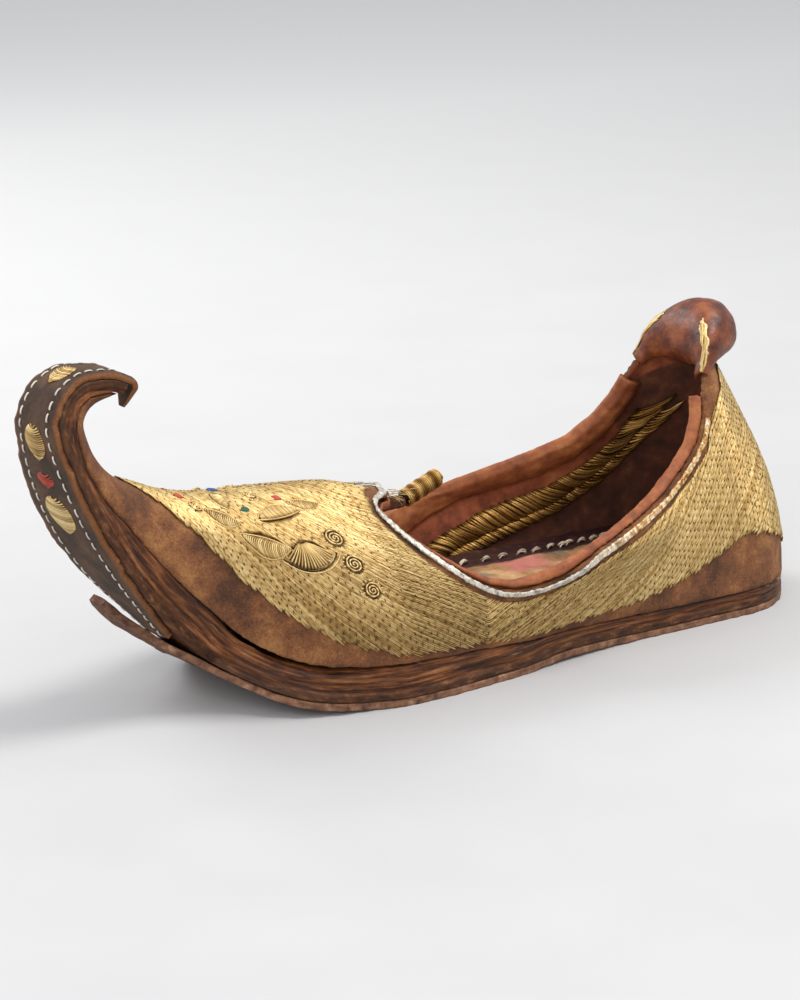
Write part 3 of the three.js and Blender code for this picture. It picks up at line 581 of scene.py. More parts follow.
def inside(outline, x, z):
    """Which side view places lie inside an outline."""
    hit = np.zeros(np.shape(x), bool)
    for (x0, z0), (x1, z1) in zip(outline, np.roll(outline, -1, 0)):
        if z0 == z1:
            continue
        crosses = (z0 > z) != (z1 > z)
        hit ^= crosses & (x < x0 + (z - z0) * (x1 - x0) / (z1 - z0))
    return hit


FIELD_OPENING = opening_outline(BORDER)


def in_field(row, share, points):
    """Where threads are laid."""
    near = np.where(share > 1, 2 - share, share)
    return ((near >= edge_share(row)) & (row < THREAD_END) & (share <= 2)
            & ~inside(FIELD_OPENING, points[..., 0], points[..., 2]))


GRID_CORNERS = np.arange(len(GRID_ROWS) * len(GRID_SHARES)).reshape(len(GRID_ROWS), -1)
GRID_FACES = np.stack([GRID_CORNERS[:-1, :-1], GRID_CORNERS[:-1, 1:], GRID_CORNERS[1:, 1:],
                       GRID_CORNERS[1:, :-1]], -1).reshape(-1, 4)
GRID_TREE = BVHTree.FromPolygons(GRID_POINTS.reshape(-1, 3).tolist(), GRID_FACES.tolist())


def places_of(points):
    """Row, share and height over the last's surface of each point."""
    rows, shares, lifts = np.zeros((3, len(points)))
    for k, point in enumerate(points):
        found, _, face, _ = GRID_TREE.find_nearest(Vector(point))
        i, j = divmod(face, SHARE_STEPS)
        a, b, d = GRID_POINTS[i, j], GRID_POINTS[i + 1, j], GRID_POINTS[i, j + 1]
        offset = np.array(found) - a
        along_row, along_share = b - a, d - a
        rows[k] = GRID_ROWS[i] + GRID_ROWS[1] * np.clip(
            offset @ along_row / max(along_row @ along_row, 1e-9), 0, 1)
        shares[k] = GRID_SHARES[j] + GRID_SHARES[1] * np.clip(
            offset @ along_share / max(along_share @ along_share, 1e-9), 0, 1)
        lifts[k] = (point - np.array(found)) @ GRID_NORMALS[i, j]
    return rows, shares, lifts


# The looks of the pieces
def suede_look():
    """Rust-brown napped suede, the bronze ground under the threads, and the lining."""
    look = Look("suede_upper", Roughness=0.9, Sheen_Weight=0.12, Sheen_Roughness=0.4,
                Sheen_Tint=rgb("c08a60"))
    blotch = look.noise(16, 6, 0.68)
    fine = look.noise(0.7, 6, 0.75)
    suede = look.ramp(look.math("ADD", look.times(blotch, 0.66), look.times(fine, 0.34)),
                      (0.3, "2c170c"), (0.43, "50301b"), (0.52, "764828"), (0.62, "9a6a3c"),
                      (0.8, "c2966a"))
    ground = look.ramp(look.noise(0.9, 3, 0.7, (0.4, 1, 1)),
                       (0.35, "2b1a0b"), (0.5, "6b4a1e"), (0.68, "a8823c"))
    lining = look.ramp(look.noise(6, 5, 0.65), (0.3, "3b1d11"), (0.55, "5a2f1b"),
                       (0.78, "7c4b2d"))
    band = look.ramp(look.noise(9, 4, 0.6), (0.3, "562614"), (0.5, "8c4729"), (0.75, "b26a40"))
    lining = look.mix(look.attribute("band"), lining, band)
    outer = look.mix(look.attribute("field"), suede, ground)
    look.colour(look.mix(look.attribute("inner"), outer, lining))
    look.roughness(look.span(look.attribute("field"), 0, 1, 0.92, 0.5))
    look.bump(fine, 0.25, 0.8)
    look.bump(look.noise(0.18, 2, 0.8), 0.12, 0.9)
    return look.material


def layered_look():
    """The sole's side: brown layers with streaks along them, tan scuffs and pale scratches."""
    look = Look("layered_leather", Roughness=0.55, Specular_IOR_Level=0.25)
    along_sole = look.node("CombineXYZ", 0, {"X": look.attribute("run"),
                                             "Z": look.attribute("rise")})
    streaks = look.noise(2.0, 6, 0.7, (0.09, 1, 1.2), along_sole)
    wear = look.noise(9, 5, 0.7, (0.4, 1, 1.2), along_sole)
    dark = look.ramp(streaks, (0.32, "180a05"), (0.46, "42220f"), (0.56, "6b3f20"),
                     (0.72, "96683f"))
    scuffed = look.ramp(streaks, (0.3, "4e2410"), (0.55, "824a26"), (0.75, "b58452"))
    scuff = look.times(look.span(wear, 0.46, 0.62), look.span(streaks, 0.45, 0.6))
    body = look.mix(scuff, dark, scuffed)
    pale = look.span(look.noise(1.1, 3, 0.8, (0.06, 1, 1.8), along_sole), 0.62, 0.68)
    scratched = look.mix(look.times(pale, 0.5), body, rgb("b79a86"))
    welt = look.ramp(look.noise(2, 5, 0.7, (0.3, 1, 1), along_sole), (0.35, "241208"),
                     (0.55, "533018"), (0.72, "8d6240"))
    look.colour(look.mix(look.attribute("welt"), scratched, welt))
    look.roughness(look.span(streaks, 0.3, 0.7, 0.38, 0.7))
    look.bump(streaks, 0.35, 0.9)
    look.bump(look.noise(0.5, 4, 0.7), 0.12, 0.7)
    return look.material


def raw_leather_look():
    """The thin bottom layer: brown leather with a paler worn edge."""
    look = Look("bottom_leather", Roughness=0.8)
    fibre = look.noise(1.2, 6, 0.75, (0.5, 0.5, 1.4))
    body = look.ramp(fibre, (0.3, "2a150a"), (0.5, "5c341a"), (0.7, "9a6a40"))
    worn = look.ramp(look.noise(3.5, 5, 0.7), (0.35, "4a2b1b"), (0.6, "8a6146"), (0.85, "c9ab8c"))
    look.colour(look.mix(look.span(look.attribute("rim"), 0.2, 0.9), body, worn))
    look.bump(fibre, 0.3, 0.9)
    return look.material


def napped_strip_look():
    """The strip over the curl: dark brown nap, rubbed to orange along its edges."""
    look = Look("napped_strip", Roughness=0.95, Sheen_Weight=0.15, Sheen_Tint=rgb("b8a890"))
    nap = look.noise(0.6, 6, 0.8)
    cloud = look.noise(11, 5, 0.65)
    brown = look.ramp(look.math("ADD", look.times(cloud, 0.7), look.times(nap, 0.3)),
                      (0.3, "1a0f09"), (0.46, "3a2316"), (0.6, "5c3e28"), (0.8, "836348"))
    edge = look.ramp(nap, (0.3, "6a3418"), (0.6, "a56a38"))
    look.colour(look.mix(look.attribute("rim"), brown, edge))
    look.bump(nap, 0.4, 1.0)
    look.bump(look.noise(0.15, 2, 0.8), 0.1, 0.8)
    return look.material


def leather_look(name, stops, dull, size=0.7, coat=0.0):
    """Leather in the colours of stops, with pores of the given size in mm."""
    look = Look(name, Roughness=dull, Coat_Weight=coat, Coat_Roughness=0.3,
                Specular_IOR_Level=0.35)
    body = look.ramp(look.noise(7, 5, 0.65), *stops)
    creased = look.noise(2.4, 5, 0.7)
    pores = look.span(look.cells(size), 0.0, 0.5)
    look.colour(look.mix(look.times(look.span(pores, 0.3, 0), 0.55), body, rgb("24120b")))
    look.roughness(look.span(creased, 0.3, 0.7, dull - 0.12, dull + 0.18))
    look.bump(pores, 0.12, 0.6)
    look.bump(creased, 0.25, 0.6)
    return look.material


def cloth_look():
    """Worn tan cloth of the tread, with pink and green stains and a dark glossy border."""
    look = Look("tread_cloth", Roughness=0.9)
    weave = look.node("TexWave", 1, {"Vector": look.place((1, 1, 1), (0, 0, 0.5)),
                                     "Scale": 700.0, "Distortion": 1.5, "Detail": 2.0})
    cloud = look.noise(9, 6, 0.7)
    tan = look.ramp(cloud, (0.3, "5b3c26"), (0.5, "9c7349"), (0.7, "c7a273"))
    pink = look.mix(look.attribute("pink"), tan, rgb("c0696a"))
    green = look.mix(look.attribute("green"), pink, rgb("4e6b66"))
    border = look.ramp(look.noise(3, 5, 0.7), (0.3, "180d0f"), (0.55, "3b2223"),
                       (0.75, "6b4240"))
    look.colour(look.mix(look.attribute("border"), green, border))
    look.roughness(look.span(look.attribute("border"), 0, 1, 0.92, 0.38))
    look.bump(weave, 0.15, 0.6)
    look.bump(cloud, 0.5, 0.5)
    return look.material


def metal_thread_look(name, low, middle, high, painted_highlight, metal=0.7):
    """Gilt or silvered thread: wound strips over a core, with dirt in patches, painted shade low
    down on each thread and a painted highlight on its brightest tones.
    """
    look = Look(name, Metallic=metal)
    dirt = look.noise(5, 5, 0.7)
    fine = look.noise(0.35, 3, 0.7)
    value = look.stirred(look.stirred(look.attribute("tone"), dirt, 0.4), fine, 0.35)
    # The last stop is a painted highlight on the threads' tops; the low stops show the tone's
    # painted shade.
    look.colour(look.ramp(value, (0.08, low), (0.38, middle), (0.66, high), (0.95, painted_highlight)))
    look.roughness(look.span(fine, 0.3, 0.7, 0.34, 0.58))
    look.bump(look.noise(0.3, 2, 0.7), 0.12, 0.8)
    return look.material


def plain_thread_look(name, low, high, dull=0.7):
    """Cotton, silk or thong, with fibres from a fine noise and the tone's painted shade low down on
    each tube.
    """
    look = Look(name, Roughness=dull)
    fine = look.noise(0.5, 4, 0.7)
    # The tone carries painted shade: darker low down on each tube.
    value = look.stirred(look.times(look.attribute("tone"), 0.8), fine, 0.6)
    look.colour(look.ramp(value, (0.05, low), (0.7, high)))
    look.bump(fine, 0.15, 0.8)
    return look.material


# Upper
OUTER_ABOVE = -0.8  # what lies higher over the last's surface is the outside
INNER_BELOW = -1.5
LINED_TO_ROW = 22.6
BAND_WIDTH = 22  # the inside leather band under the collar


def upper_skin():
    """The shell, uneven as worn suede, with its threads' ground, lining and band marked."""
    thing = remeshed("upper", "upper_suede", 1.06, 2)
    mesh = thing.data
    points = points_of(mesh)
    row, share, lift = places_of(points)
    base, normal = surface(row, share)
    outer = lift > OUTER_ABOVE
    inner = lift < INNER_BELOW
    wander = noise(base, 14, 3, 2)
    dents = 0.35 * wander + 0.12 * noise(base, 4, 9)
    target = np.where(outer, 0.12 * dents, np.where(inner, -WALL + 0.2 * dents, lift))
    on_body = (row > 0.3) & (row < LAST - 0.3) & (share > 0.02) & (share < 1.98)
    smooth = on_body & (outer | inner)
    points[smooth] = base[smooth] + normal[smooth] * target[smooth, None]
    set_points(mesh, points)
    relax(mesh, 2)
    field = in_field(row, share, base) & outer
    near_share = np.where(share > 1, 2 - share, share)
    field &= near_share > edge_share(row) + 0.05
    mark(mesh, "field", field.astype(float))
    mark(mesh, "inner", (inner & (row < LINED_TO_ROW)).astype(float))
    mark(mesh, "band", inside(opening_outline(BAND_WIDTH), base[:, 0], base[:, 2]).astype(float))
    return dress(thing, suede_look(), "upper", "upper")


upper_skin()


# Sole
def side_profile(s):
    """Half-widths and heights of the sole's side from bottom to top, with the welt's step."""
    low, high = LAYER + CLEAR, s["edge"] - CLEAR
    ledge = np.minimum(low + WELT, high - 1)
    inner = s["foot"] + (s["half"] - s["foot"]) * (ledge / s["edge"]) - WELT_STEP
    return [(s["foot"], low), (s["foot"], ledge - 0.4), (inner, ledge), (s["half"], high)]


def sole_rows(end, step):
    """Rows about step mm apart along the sole, closer round the heel."""
    fine = np.linspace(0, end, 4001)
    s = station(fine)
    path = walk(s["bottom"]) + walk(s["half"][:, None])
    return np.interp(np.linspace(0, path[-1], int(path[-1] / step)), path, fine)


GROOVE_PITCH = 2.1
CRACK_ROW = 17.5
CRACK_REACH = 3.6
CRACK_DEPTH = 3.4
WELT_POINTS = 5
SIDE_POINTS = 14
ACROSS = (0.66, 0.33, 0, -0.33, -0.66)


def midsole():
    """The stacked leather, with grooves between its layers and a crack that gapes at the toe."""
    rows = sole_rows(LAST, 0.8)
    s = station(rows)
    places = side_profile(s)
    steps = (np.linspace(0, 1, WELT_POINTS), [1], np.linspace(0, 1, SIDE_POINTS + 1)[1:])
    profile = [(y0 + (y1 - y0) * t, h0 + (h1 - h0) * t)
               for (y0, h0), (y1, h1), shares in zip(places, places[1:], steps) for t in shares]
    welt = [1.0] * WELT_POINTS + [0.6] + [0.0] * SIDE_POINTS
    near = np.stack([s["bottom"] + s["inward"] * h[:, None] + aside(y) for y, h in profile], 1)
    layers = np.array([h for _, h in profile]).T
    grooves = np.cos(2 * np.pi * (layers - LAYER) / GROOVE_PITCH)
    rough = (0.3 * noise(near * (0.09, 0.09, 1), 1.5, 5, 3) + 0.2 * noise(near, 6, 6, 3)
             + 0.16 * np.minimum(grooves, 0.2))
    shade = np.where(np.array(welt)[None] > 0.5, 0.5, 1.0)
    fade = np.clip(s["half"] / 3, 0, 1)[:, None]
    crack = np.exp(-((rows - CRACK_ROW) / CRACK_REACH) ** 4)[:, None] * (
        0.7 + 0.5 * noise(near[:, :1], 7, 14, 2))
    climb = np.linspace(0, 1, near.shape[1])[None]
    gape = np.clip(crack, 0, 1) * np.clip((climb - 0.8) / 0.2, 0, 1)
    rough = rough - CRACK_DEPTH * gape
    near = near - s["inward"][:, None] * (1.1 * gape)[..., None]
    near = near + np.stack([0 * rough, rough * shade * fade, 0 * rough], -1)
    far = near[:, ::-1] * (1, -1, 1)
    top = np.stack([near[:, -1] * (1, w, 1) for w in ACROSS], 1)
    bottom = np.stack([far[:, -1] * (1, w, 1) for w in ACROSS], 1)
    rings = np.concatenate([near, top, far, bottom], 1)
    flat = len(ACROSS)
    marks = np.concatenate([welt, np.zeros(flat), welt[::-1], np.ones(flat)])
    path = np.cumsum(np.hypot(np.linalg.norm(np.diff(s["bottom"], axis=0, prepend=s["bottom"][:1]),
                                             axis=1), np.diff(s["half"], prepend=s["half"][0])))
    heights = np.concatenate([layers, np.tile(layers[:, -1:], flat), layers[:, ::-1],
                              np.tile(layers[:, :1], flat)], 1)
    thing = lofted("layered_sole", rings, welt=np.tile(marks, len(rows)),
                   run=np.repeat(path, rings.shape[1]), rise=heights.ravel())
    return dress(thing, layered_look(), "midsole", "midsole")


midsole()

# The torn front, towards its tip: x as a share of LENGTH, z as a share of TOE_HEIGHT, and both
# side edges as shares of HALF
FLAP = [(0.797, 0.076, 0.46, -0.52), (0.821, 0.118, 0.3, -0.5), (0.845, 0.162, 0.1, -0.53),
        (0.861, 0.193, -0.06, -0.5), (0.878, 0.238, -0.22, -0.55), (0.892, 0.28, -0.33, -0.49)]


BOTTOM_END = 18


def bottom_layer():
    """The outsole, with its torn front hanging off the toe."""
    rows = sole_rows(BOTTOM_END, 1.0)
    s = station(rows)
    flap = np.array(FLAP).T
    at = np.linspace(0, len(FLAP) - 1, 46)
    fx, fz, near_edge, far_edge = (along(c, at) for c in flap)
    bottom = np.concatenate([s["bottom"], np.stack(
        [from_heel(fx), 0 * fx, TOE_HEIGHT * fz], 1)])
    run = unit(np.gradient(bottom, axis=0))
    inward = np.stack([-run[:, 2], 0 * run[:, 0], run[:, 0]], 1)
    near = np.concatenate([s["foot"], near_edge * HALF])
    far = np.concatenate([-s["foot"], far_edge * HALF])
    path = walk(bottom)
    torn = np.clip((np.arange(len(near)) - len(rows) + 12) / 12, 0, 1)
    chew = 0.25 + 0.55 * torn
    spot = on_line(path)
    round_heel = np.clip(near / 8, 0, 1)
    near = near + chew * round_heel * noise(spot, 2.6, 11, 3)
    far = far - chew * round_heel * noise(spot, 2.6, 12, 3)
    across = np.array([0, 0.02, 0.06, 0.2, 0.35, 0.5, 0.65, 0.8, 0.94, 0.98, 1])
    edge_heights = [0.25, 0.45, 0.75]
    outline, marks = [], []
    for height, shares, end, heights in ((0, across, far, edge_heights),
                                         (1, across[::-1], near, edge_heights[::-1])):
        for share in shares:
            outline.append((near + (far - near) * share, height))
            marks.append(1.0 if share in (0, 1) else 0.5 if share in (0.02, 0.98) else 0)
        outline += [(end, h) for h in heights]
        marks += [1.0] * len(heights)
    rings = []
    for k, (y, h) in enumerate(outline):
        place = bottom + inward * (LAYER * h) + aside(y)
        rough = 0.1 * noise(place, 2.2, 21 + k % 3, 2) * marks[k]
        up = rough + torn * 0.5 * noise(place, 9, 31, 2)
        rings.append(place + inward * up[:, None])
    rings = np.stack(rings, 1)
    rings[:len(rows), :, 2] = np.maximum(rings[:len(rows), :, 2], 0)
    thing = lofted("bottom_leather", rings, rim=np.tile(marks, len(bottom)))
    return dress(thing, raw_leather_look(), "outsole", "outsole")


bottom_layer()

# The hook: x as a share of LENGTH, z as a share of TOE_HEIGHT, half-width as a share of HALF and
# thickness as a share of LAYER
HOOK = [(0.885, 0.956, 0.13, 1), (0.881, 0.93, 0.11, 1), (0.885, 0.9, 0.07, 0.75),
        (0.891, 0.872, 0.025, 0.4)]
STRIP_START = 21.2


def strip_path():
    """Bottom line, inward direction, half-width and thickness of the strip over the prow."""
    rows = np.linspace(STRIP_START, LAST, 150)
    s = station(rows)
    hook = np.array([(from_heel(x), 0, TOE_HEIGHT * z) for x, z, _, _ in HOOK])
    knots = np.concatenate([s["bottom"][-1:], hook])
    at = np.linspace(0, len(HOOK), 30)[1:]
    tail = np.stack([along(knots[:, 0], at), 0 * at, along(knots[:, 2], at)], 1)
    bottom = np.concatenate([s["bottom"], tail])
    half = np.concatenate([HALF * column("strip", rows), along(
        [HALF * column("strip", LAST)] + [HALF * h[2] for h in HOOK], at)])
    thick = np.concatenate([np.full(len(rows), LAYER), along(
        [LAYER] + [LAYER * h[3] for h in HOOK], at)])
    run = unit(np.gradient(bottom, axis=0))
    inward = np.stack([-run[:, 2], 0 * run[:, 0], run[:, 0]], 1)
    return bottom, inward, half, thick, run


def toe_strip():
    bottom, inward, half, thick, _ = strip_path()
    across = np.linspace(1, -1, 21)
    outer = 0.5 * np.clip(np.abs(across) * 2 - 1, 0, 1) / LAYER
    ragged = 1 + 0.05 * noise(on_line(walk(bottom)), 3, 41, 2)
    columns, marks = [], []
    for share, deep in zip(across, outer):
        columns.append((half * ragged * share, deep))
        marks.append(0.75 * float(abs(share) > 0.98))
    for share in across[::-1]:
        columns.append((half * ragged * share, 1.0))
        marks.append(float(abs(share) > 0.93))
    rings = []
    for k, (y, h) in enumerate(columns):
        place = bottom + inward * (thick * h)[:, None] + aside(y)
        swell = 0.12 * noise(place, 3, 45, 2)
        rings.append(place + inward * (swell * (h < 0.9))[:, None])
    thing = lofted("toe_strip_nap", np.stack(rings, 1), rim=np.tile(marks, len(bottom)))
    return dress(thing, napped_strip_look(), "toe_strip", "toe_strip")


toe_strip()


def ribbon_look():
    """Silvered ribbon, gilt and orange in its folds towards the heel."""
    look = Look("silvered_ribbon", Roughness=0.36, Metallic=0.35)
    folds = look.noise(1.5, 4, 0.7, (1, 1, 0.6))
    silver = look.ramp(folds, (0.3, "6a6156"), (0.5, "bdb6a8"), (0.7, "e6e1d4"))
    gilt = look.ramp(folds, (0.34, "5a3210"), (0.48, "b9843c"), (0.6, "e2d3ae"), (0.75, "f0eada"))
    where = look.node("SeparateXYZ", 0, {"Vector": look.place()})
    look.colour(look.mix(look.span(where, 0.085, 0.06), silver, gilt))
    look.bump(folds, 0.4, 0.8)
    return look.material


# Soft pieces that keep the form of their node
def softened(node, name, voxel, material, lump, size, rounds, seed, thinner=0):
    """A node made soft: relaxed, then lumpy, and thinner all round by some mm."""
    thing = remeshed(node, name, voxel, 1)
    relax(thing.data, rounds, 0.5, -0.502)
    points = points_of(thing.data)
    normals = normals_of(thing.data)
    points += normals * (lump * noise(points, size, 50 + seed, 3) - thinner)[:, None]
    set_points(thing.data, points)
    return dress(thing, material, node, node)


softened("collar_roll", "collar_roll_leather", 0.6,
         leather_look("roll_leather", ((0.3, "6a3419"), (0.5, "8f4f2b"), (0.72, "ad6d3b")),
                      dull=0.62, size=0.35, coat=0.05),
         lump=0.14, size=2.4, rounds=6, seed=1)
softened("piping", "piping_ribbon", 0.35, ribbon_look(),
         lump=0.2, size=1.1, rounds=1, seed=2, thinner=0.22)
softened("heel_cap", "hood_leather", 0.6,
         leather_look("hood_leather", ((0.32, "3c180c"), (0.5, "6a3219"), (0.68, "93522b")),
                      dull=0.45, size=0.6, coat=0.12),
         lump=0.25, size=7, rounds=1300, seed=3)
softened("toggle_tab", "toggle_tab_suede", 0.3,
         leather_look("tab_suede", ((0.3, "26140d"), (0.5, "4a2b1c"), (0.7, "6a452e")), dull=0.9),
         lump=0.12, size=1.2, rounds=2, seed=4)
softened("toggle", "toggle_winding", 0.25,
         metal_thread_look("toggle_gilt", "2a1a08", "7d5a20", "b98f3c", "e8cf8a"),
         lump=0.05, size=0.8, rounds=1, seed=5)


def tread():
    """The worn footbed, with its dark border and stains marked."""
    thing = remeshed("insole", "tread_cloth", 1.3, 3)
    mesh = thing.data
    points = points_of(mesh)
    s = station(np.linspace(0, 18.5, 200))
    from_side = np.interp(points[:, 0], s["rim"][:, 0], s["half"]) - 3 - np.abs(points[:, 1])
    points[:, 2] += np.where(points[:, 2] > 14, 0.35 * noise(points, 9, 60, 3), 0)
    set_points(mesh, points)
    mark(mesh, "border", np.clip((17 - from_side) / 0.8 + 1.5 * noise(points, 5, 63), 0, 1))
    spot = lambda x, y, r: np.clip(
        1.4 - np.hypot(points[:, 0] - x, points[:, 1] - y) / r
        + 0.4 * noise(points, 4, 61, 2), 0, 1) * 0.7
    mark(mesh, "pink", spot(62, -12, 9))
    mark(mesh, "green", np.maximum(spot(46, -20, 5), spot(84, -8, 4)))
    return dress(thing, cloth_look(), "insole", "insole")


tread()


# Embroidery
THREAD_PITCH = 0.57
THREAD_HALF = 0.29
BUNDLE = 4
COUCH_EVERY = 2.6
CHEVRON_ROW = 12.05
MEAN_SLANT = 24
MOST_LINES = 90
LEAST_THREAD = 2  # mm
THREAD_LIFT = 0.44
GAPS_IN_COUCHING = 0.22  # share of the small stitches that are worn off
# Angle of the threads to their lower edge: place along ROWS and degrees
SLANT = [(0, 50), (4, 47), (7, 38), (10, 29), (12, 26), (14, 26), (17, 22), (20, 20), (24, 16)]

# Raised figures on the vamp: place on the upper, turn in degrees, length and width in mm. A fan's
# width is its spread in degrees.
FIGURE_COLUMNS = ("kind", "row", "share", "turn", "long", "wide", "bow")
FIGURES = [dict(zip(FIGURE_COLUMNS, figure)) for figure in (
    ("leaf", 18.45, 0.655, 12, 14, 6.5, 2),
    ("leaf", 17.2, 0.8, -14, 15, 4.6, -1.6),
    ("fan", 16.95, 0.68, 78, 10, 100, 0),
    ("rosette", 15.5, 0.695, 0, 7.4, 7.4, 0),
    ("rosette", 15.25, 0.575, 40, 7, 7, 0),
    ("rosette", 14.95, 0.46, 90, 6.4, 6.4, 0),
    ("leaf", 19.9, 0.78, 20, 10, 5, 1.4),
    ("leaf", 15.9, 0.86, 10, 10, 4.2, 1.2),
    ("rosette", 20.9, 0.82, 0, 4.8, 4.8, 0),
    ("fan", 19.0, 0.9, 160, 4.6, 90, 0),
    ("rosette", 17.75, 0.92, 0, 4.6, 4.6, 0),
)]
# Small ovals of coloured silk: row, share and turn
OVALS = [("silk_blue", 19.1, 0.99, 10), ("silk_red", 21.4, 0.9, 5), ("silk_red", 16.75, 0.89, 25),
         ("silk_green", 18.5, 0.83, -20)]
OVAL_LENGTH = 3.0
OVAL_WIDTH = 1.7


def side_share(share, side):
    return share if side > 0 else 2 - share


def figure_points(place, u, v, side, lift):
    """Points of a figure: u runs to the heel and v down the side, turned about its middle."""
    row, share = place["row"], place["share"]
    turn = math.radians(place["turn"])
    step = 0.1
    row_mm = np.linalg.norm(section_point(row + step, share) - section_point(row - step, share))
    share_mm = np.linalg.norm(section_point(row, share + step) - section_point(row, share - step))
    back = u * math.cos(turn) - v * math.sin(turn)
    down = u * math.sin(turn) + v * math.cos(turn)
    rows = row - back * 2 * step / row_mm
    shares = share - down * 2 * step / share_mm
    return surface(rows, side_share(shares, side), lift)


def figure_ellipses():
    """Middle, long axis and half-sizes of the ground that each raised figure covers."""
    ellipses = []
    for place in FIGURES:
        is_fan = place["kind"] == "fan"
        middle = place["long"] * 0.55 if is_fan else 0
        radii = ((place["long"] * 0.46, place["long"] * 0.58) if is_fan
                 else (place["long"] * 0.5 - 0.7, place["wide"] * 0.5 - 0.7))
        spots, _ = figure_points(place, np.array([middle, middle + 1]), np.zeros(2), 1, 0)
        ellipses.append((spots[0], unit(spots[1] - spots[0]), radii))
    return ellipses


def in_figures(points, ellipses):
    """Which points lie under a raised figure."""
    hit = np.zeros(len(points), bool)
    for middle, axis, radii in ellipses:
        offset = points - middle
        u = offset @ axis
        v = np.linalg.norm(offset - u[:, None] * axis, axis=1)
        hit |= (u / radii[0]) ** 2 + (v / radii[1]) ** 2 < 1
    return hit


def runs_of(keep, least):
    """Start and end of each stretch of True that is at least so long."""
    edges = np.flatnonzero(np.diff(np.concatenate([[0], keep.astype(int), [0]])))
    return [(a, b) for a, b in zip(edges[::2], edges[1::2]) if b - a >= least]


def laid_threads(side, name):
    """Threads laid side by side at a slant to the lower edge, dipping where they are held down."""
    strands, stitches = Strands(), Strands()
    fine = np.linspace(0.3, THREAD_END, 2400)
    edge, _ = surface(fine, edge_share(fine))
    path = walk(edge)
    rows, angles = zip(*SLANT)
    slope = np.tan(np.radians(np.interp(fine, rows, angles)))
    climb = np.concatenate([[0], np.cumsum(slope[1:] * np.diff(path))])
    climb = np.abs(climb - np.interp(CHEVRON_ROW, fine, climb))
    spacing = THREAD_PITCH / math.cos(math.radians(MEAN_SLANT))
    held = []
    ellipses = figure_ellipses()
    for line in range(-int(climb.max() / spacing), MOST_LINES):
        rise = climb + line * spacing
        share = share_above(fine, np.maximum(rise, -1.5))
        tooth = -0.9 + 1.9 * ((line * 0.37) % 1) * 0.5 + 1.1 * (line % 7) / 7
        keep = (share < 1) & (rise > tooth)
        if not keep.any():
            continue
        place = np.where(keep, share, 0.99)
        base, _ = surface(fine, place)
        keep &= in_field(fine, np.maximum(place, edge_share(fine)), base)
        keep &= ~in_figures(base, ellipses)
        for start, end in runs_of(keep, 10):
            along_run = walk(base[start:end])
            if along_run[-1] < LEAST_THREAD:
                continue
            stops = np.linspace(0, along_run[-1], max(3, int(along_run[-1] / 1.0)))
            row = np.interp(stops, along_run, fine[start:end])
            level = np.interp(stops, along_run, rise[start:end])
            wander = 0.15 * noise(on_line(stops / 5, line * 3.1), 1, 70, 2)
            heel = np.clip((7 - row) / 4, 0, 1)
            wander += heel * 0.5 * np.sin(stops / 1.9 + line * 0.25)
            at = np.minimum(share_above(row, level + wander), 1)
            odd = line // BUNDLE % 2
            phase = ((stops + odd * COUCH_EVERY / 2) % COUCH_EVERY) / COUCH_EVERY
            dip = np.exp(-((phase - 0.5) / 0.15) ** 2)
            swell = 0.08 * noise(on_line(stops, line), 4, 71)
            points, normals = surface(row, side_share(at, side), THREAD_LIFT + swell - 0.1 * dip)
            shade = 0.6 + 0.13 * jitter() + 0.06 * jitter(len(row))
            ends = np.minimum(1, 0.45 + np.minimum(stops, stops[-1] - stops) / 0.8)
            # Painted shade: the tone drops where the couching pulls the thread down, and deep 0.6
            # darkens each thread low down.
            strands.add(points, normals, THREAD_HALF * ends * (1 - 0.08 * dip),
                        0.4 * ends * (1 - 0.1 * dip), shade - 0.2 * dip, 4, 0.6)
            if line % BUNDLE == 1:
                here = np.arange(COUCH_EVERY * (0.5 + odd * 0.5), along_run[-1], COUCH_EVERY)
                held += [(np.interp(h, stops, row), np.interp(h, stops, level)) for h in here]
    held = [spot for spot in held if rng.uniform() > GAPS_IN_COUCHING]
    place, level = np.array(held).T
    level = level + rng.uniform(-0.25, 0.25, len(level))
    spread = np.linspace(-1, 1, 5)[None]
    rows = place[:, None] + 0.012 * spread
    rises = level[:, None] + spread * spacing * 0.8
    shares = np.minimum(share_above(rows.ravel(), rises.ravel()), 1).reshape(rows.shape)
    points, normals = surface(rows, side_share(shares, side), 0.72 - 0.35 * spread ** 4)
    # Painted shade: the couching stitches get low tones, so they show as dark shadowed holes where
    # the threads are held down.
    tone = 0.2 + 0.25 * rng.uniform(size=(len(place), 1))
    stitches.add_many(points, normals, 0.16, 0.12, tone, 4, 0.15)
    strands.finish(name, GILT, "upper")
    stitches.finish(name + "_couching", SHADE_DARK_COUCHING, "upper")


def leaf(strands, place, side):
    """Slanted ribs across a bowed spine, with a cord round them."""
    t = np.linspace(0.05, 0.95, int(place["long"] / 0.6))[:, None]
    k = np.linspace(-1, 1, 7)[None]
    half = place["wide"] / 2 * np.sin(np.pi * t) ** 0.75
    bow = place["bow"] * 4 * t * (1 - t)
    u = place["long"] * (t - 0.5) + 0.9 * k ** 2 * half / 2
    points, normals = figure_points(place, u, bow + k * half, side, 0.5 + 0.75 * (1 - k ** 2))
    shade = 0.62 + 0.15 * jitter((len(t), 1))
    strands.add_many(points, normals, 0.3, 0.36, shade, 4, 0.5)
    round_ = np.linspace(0, 2 * np.pi, 40)
    s = 0.5 - 0.5 * np.cos(round_)
    width = place["wide"] / 2 * np.sin(np.pi * s) ** 0.75 * np.sign(np.sin(round_)) * 1.12
    u = (place["long"] + 0.8) * (s - 0.5)
    v = place["bow"] * 4 * s * (1 - s) + width
    points, normals = figure_points(place, u, v, side, 0.62)
    strands.add(points, normals, 0.34, 0.42, 0.55, 4, 0.5)


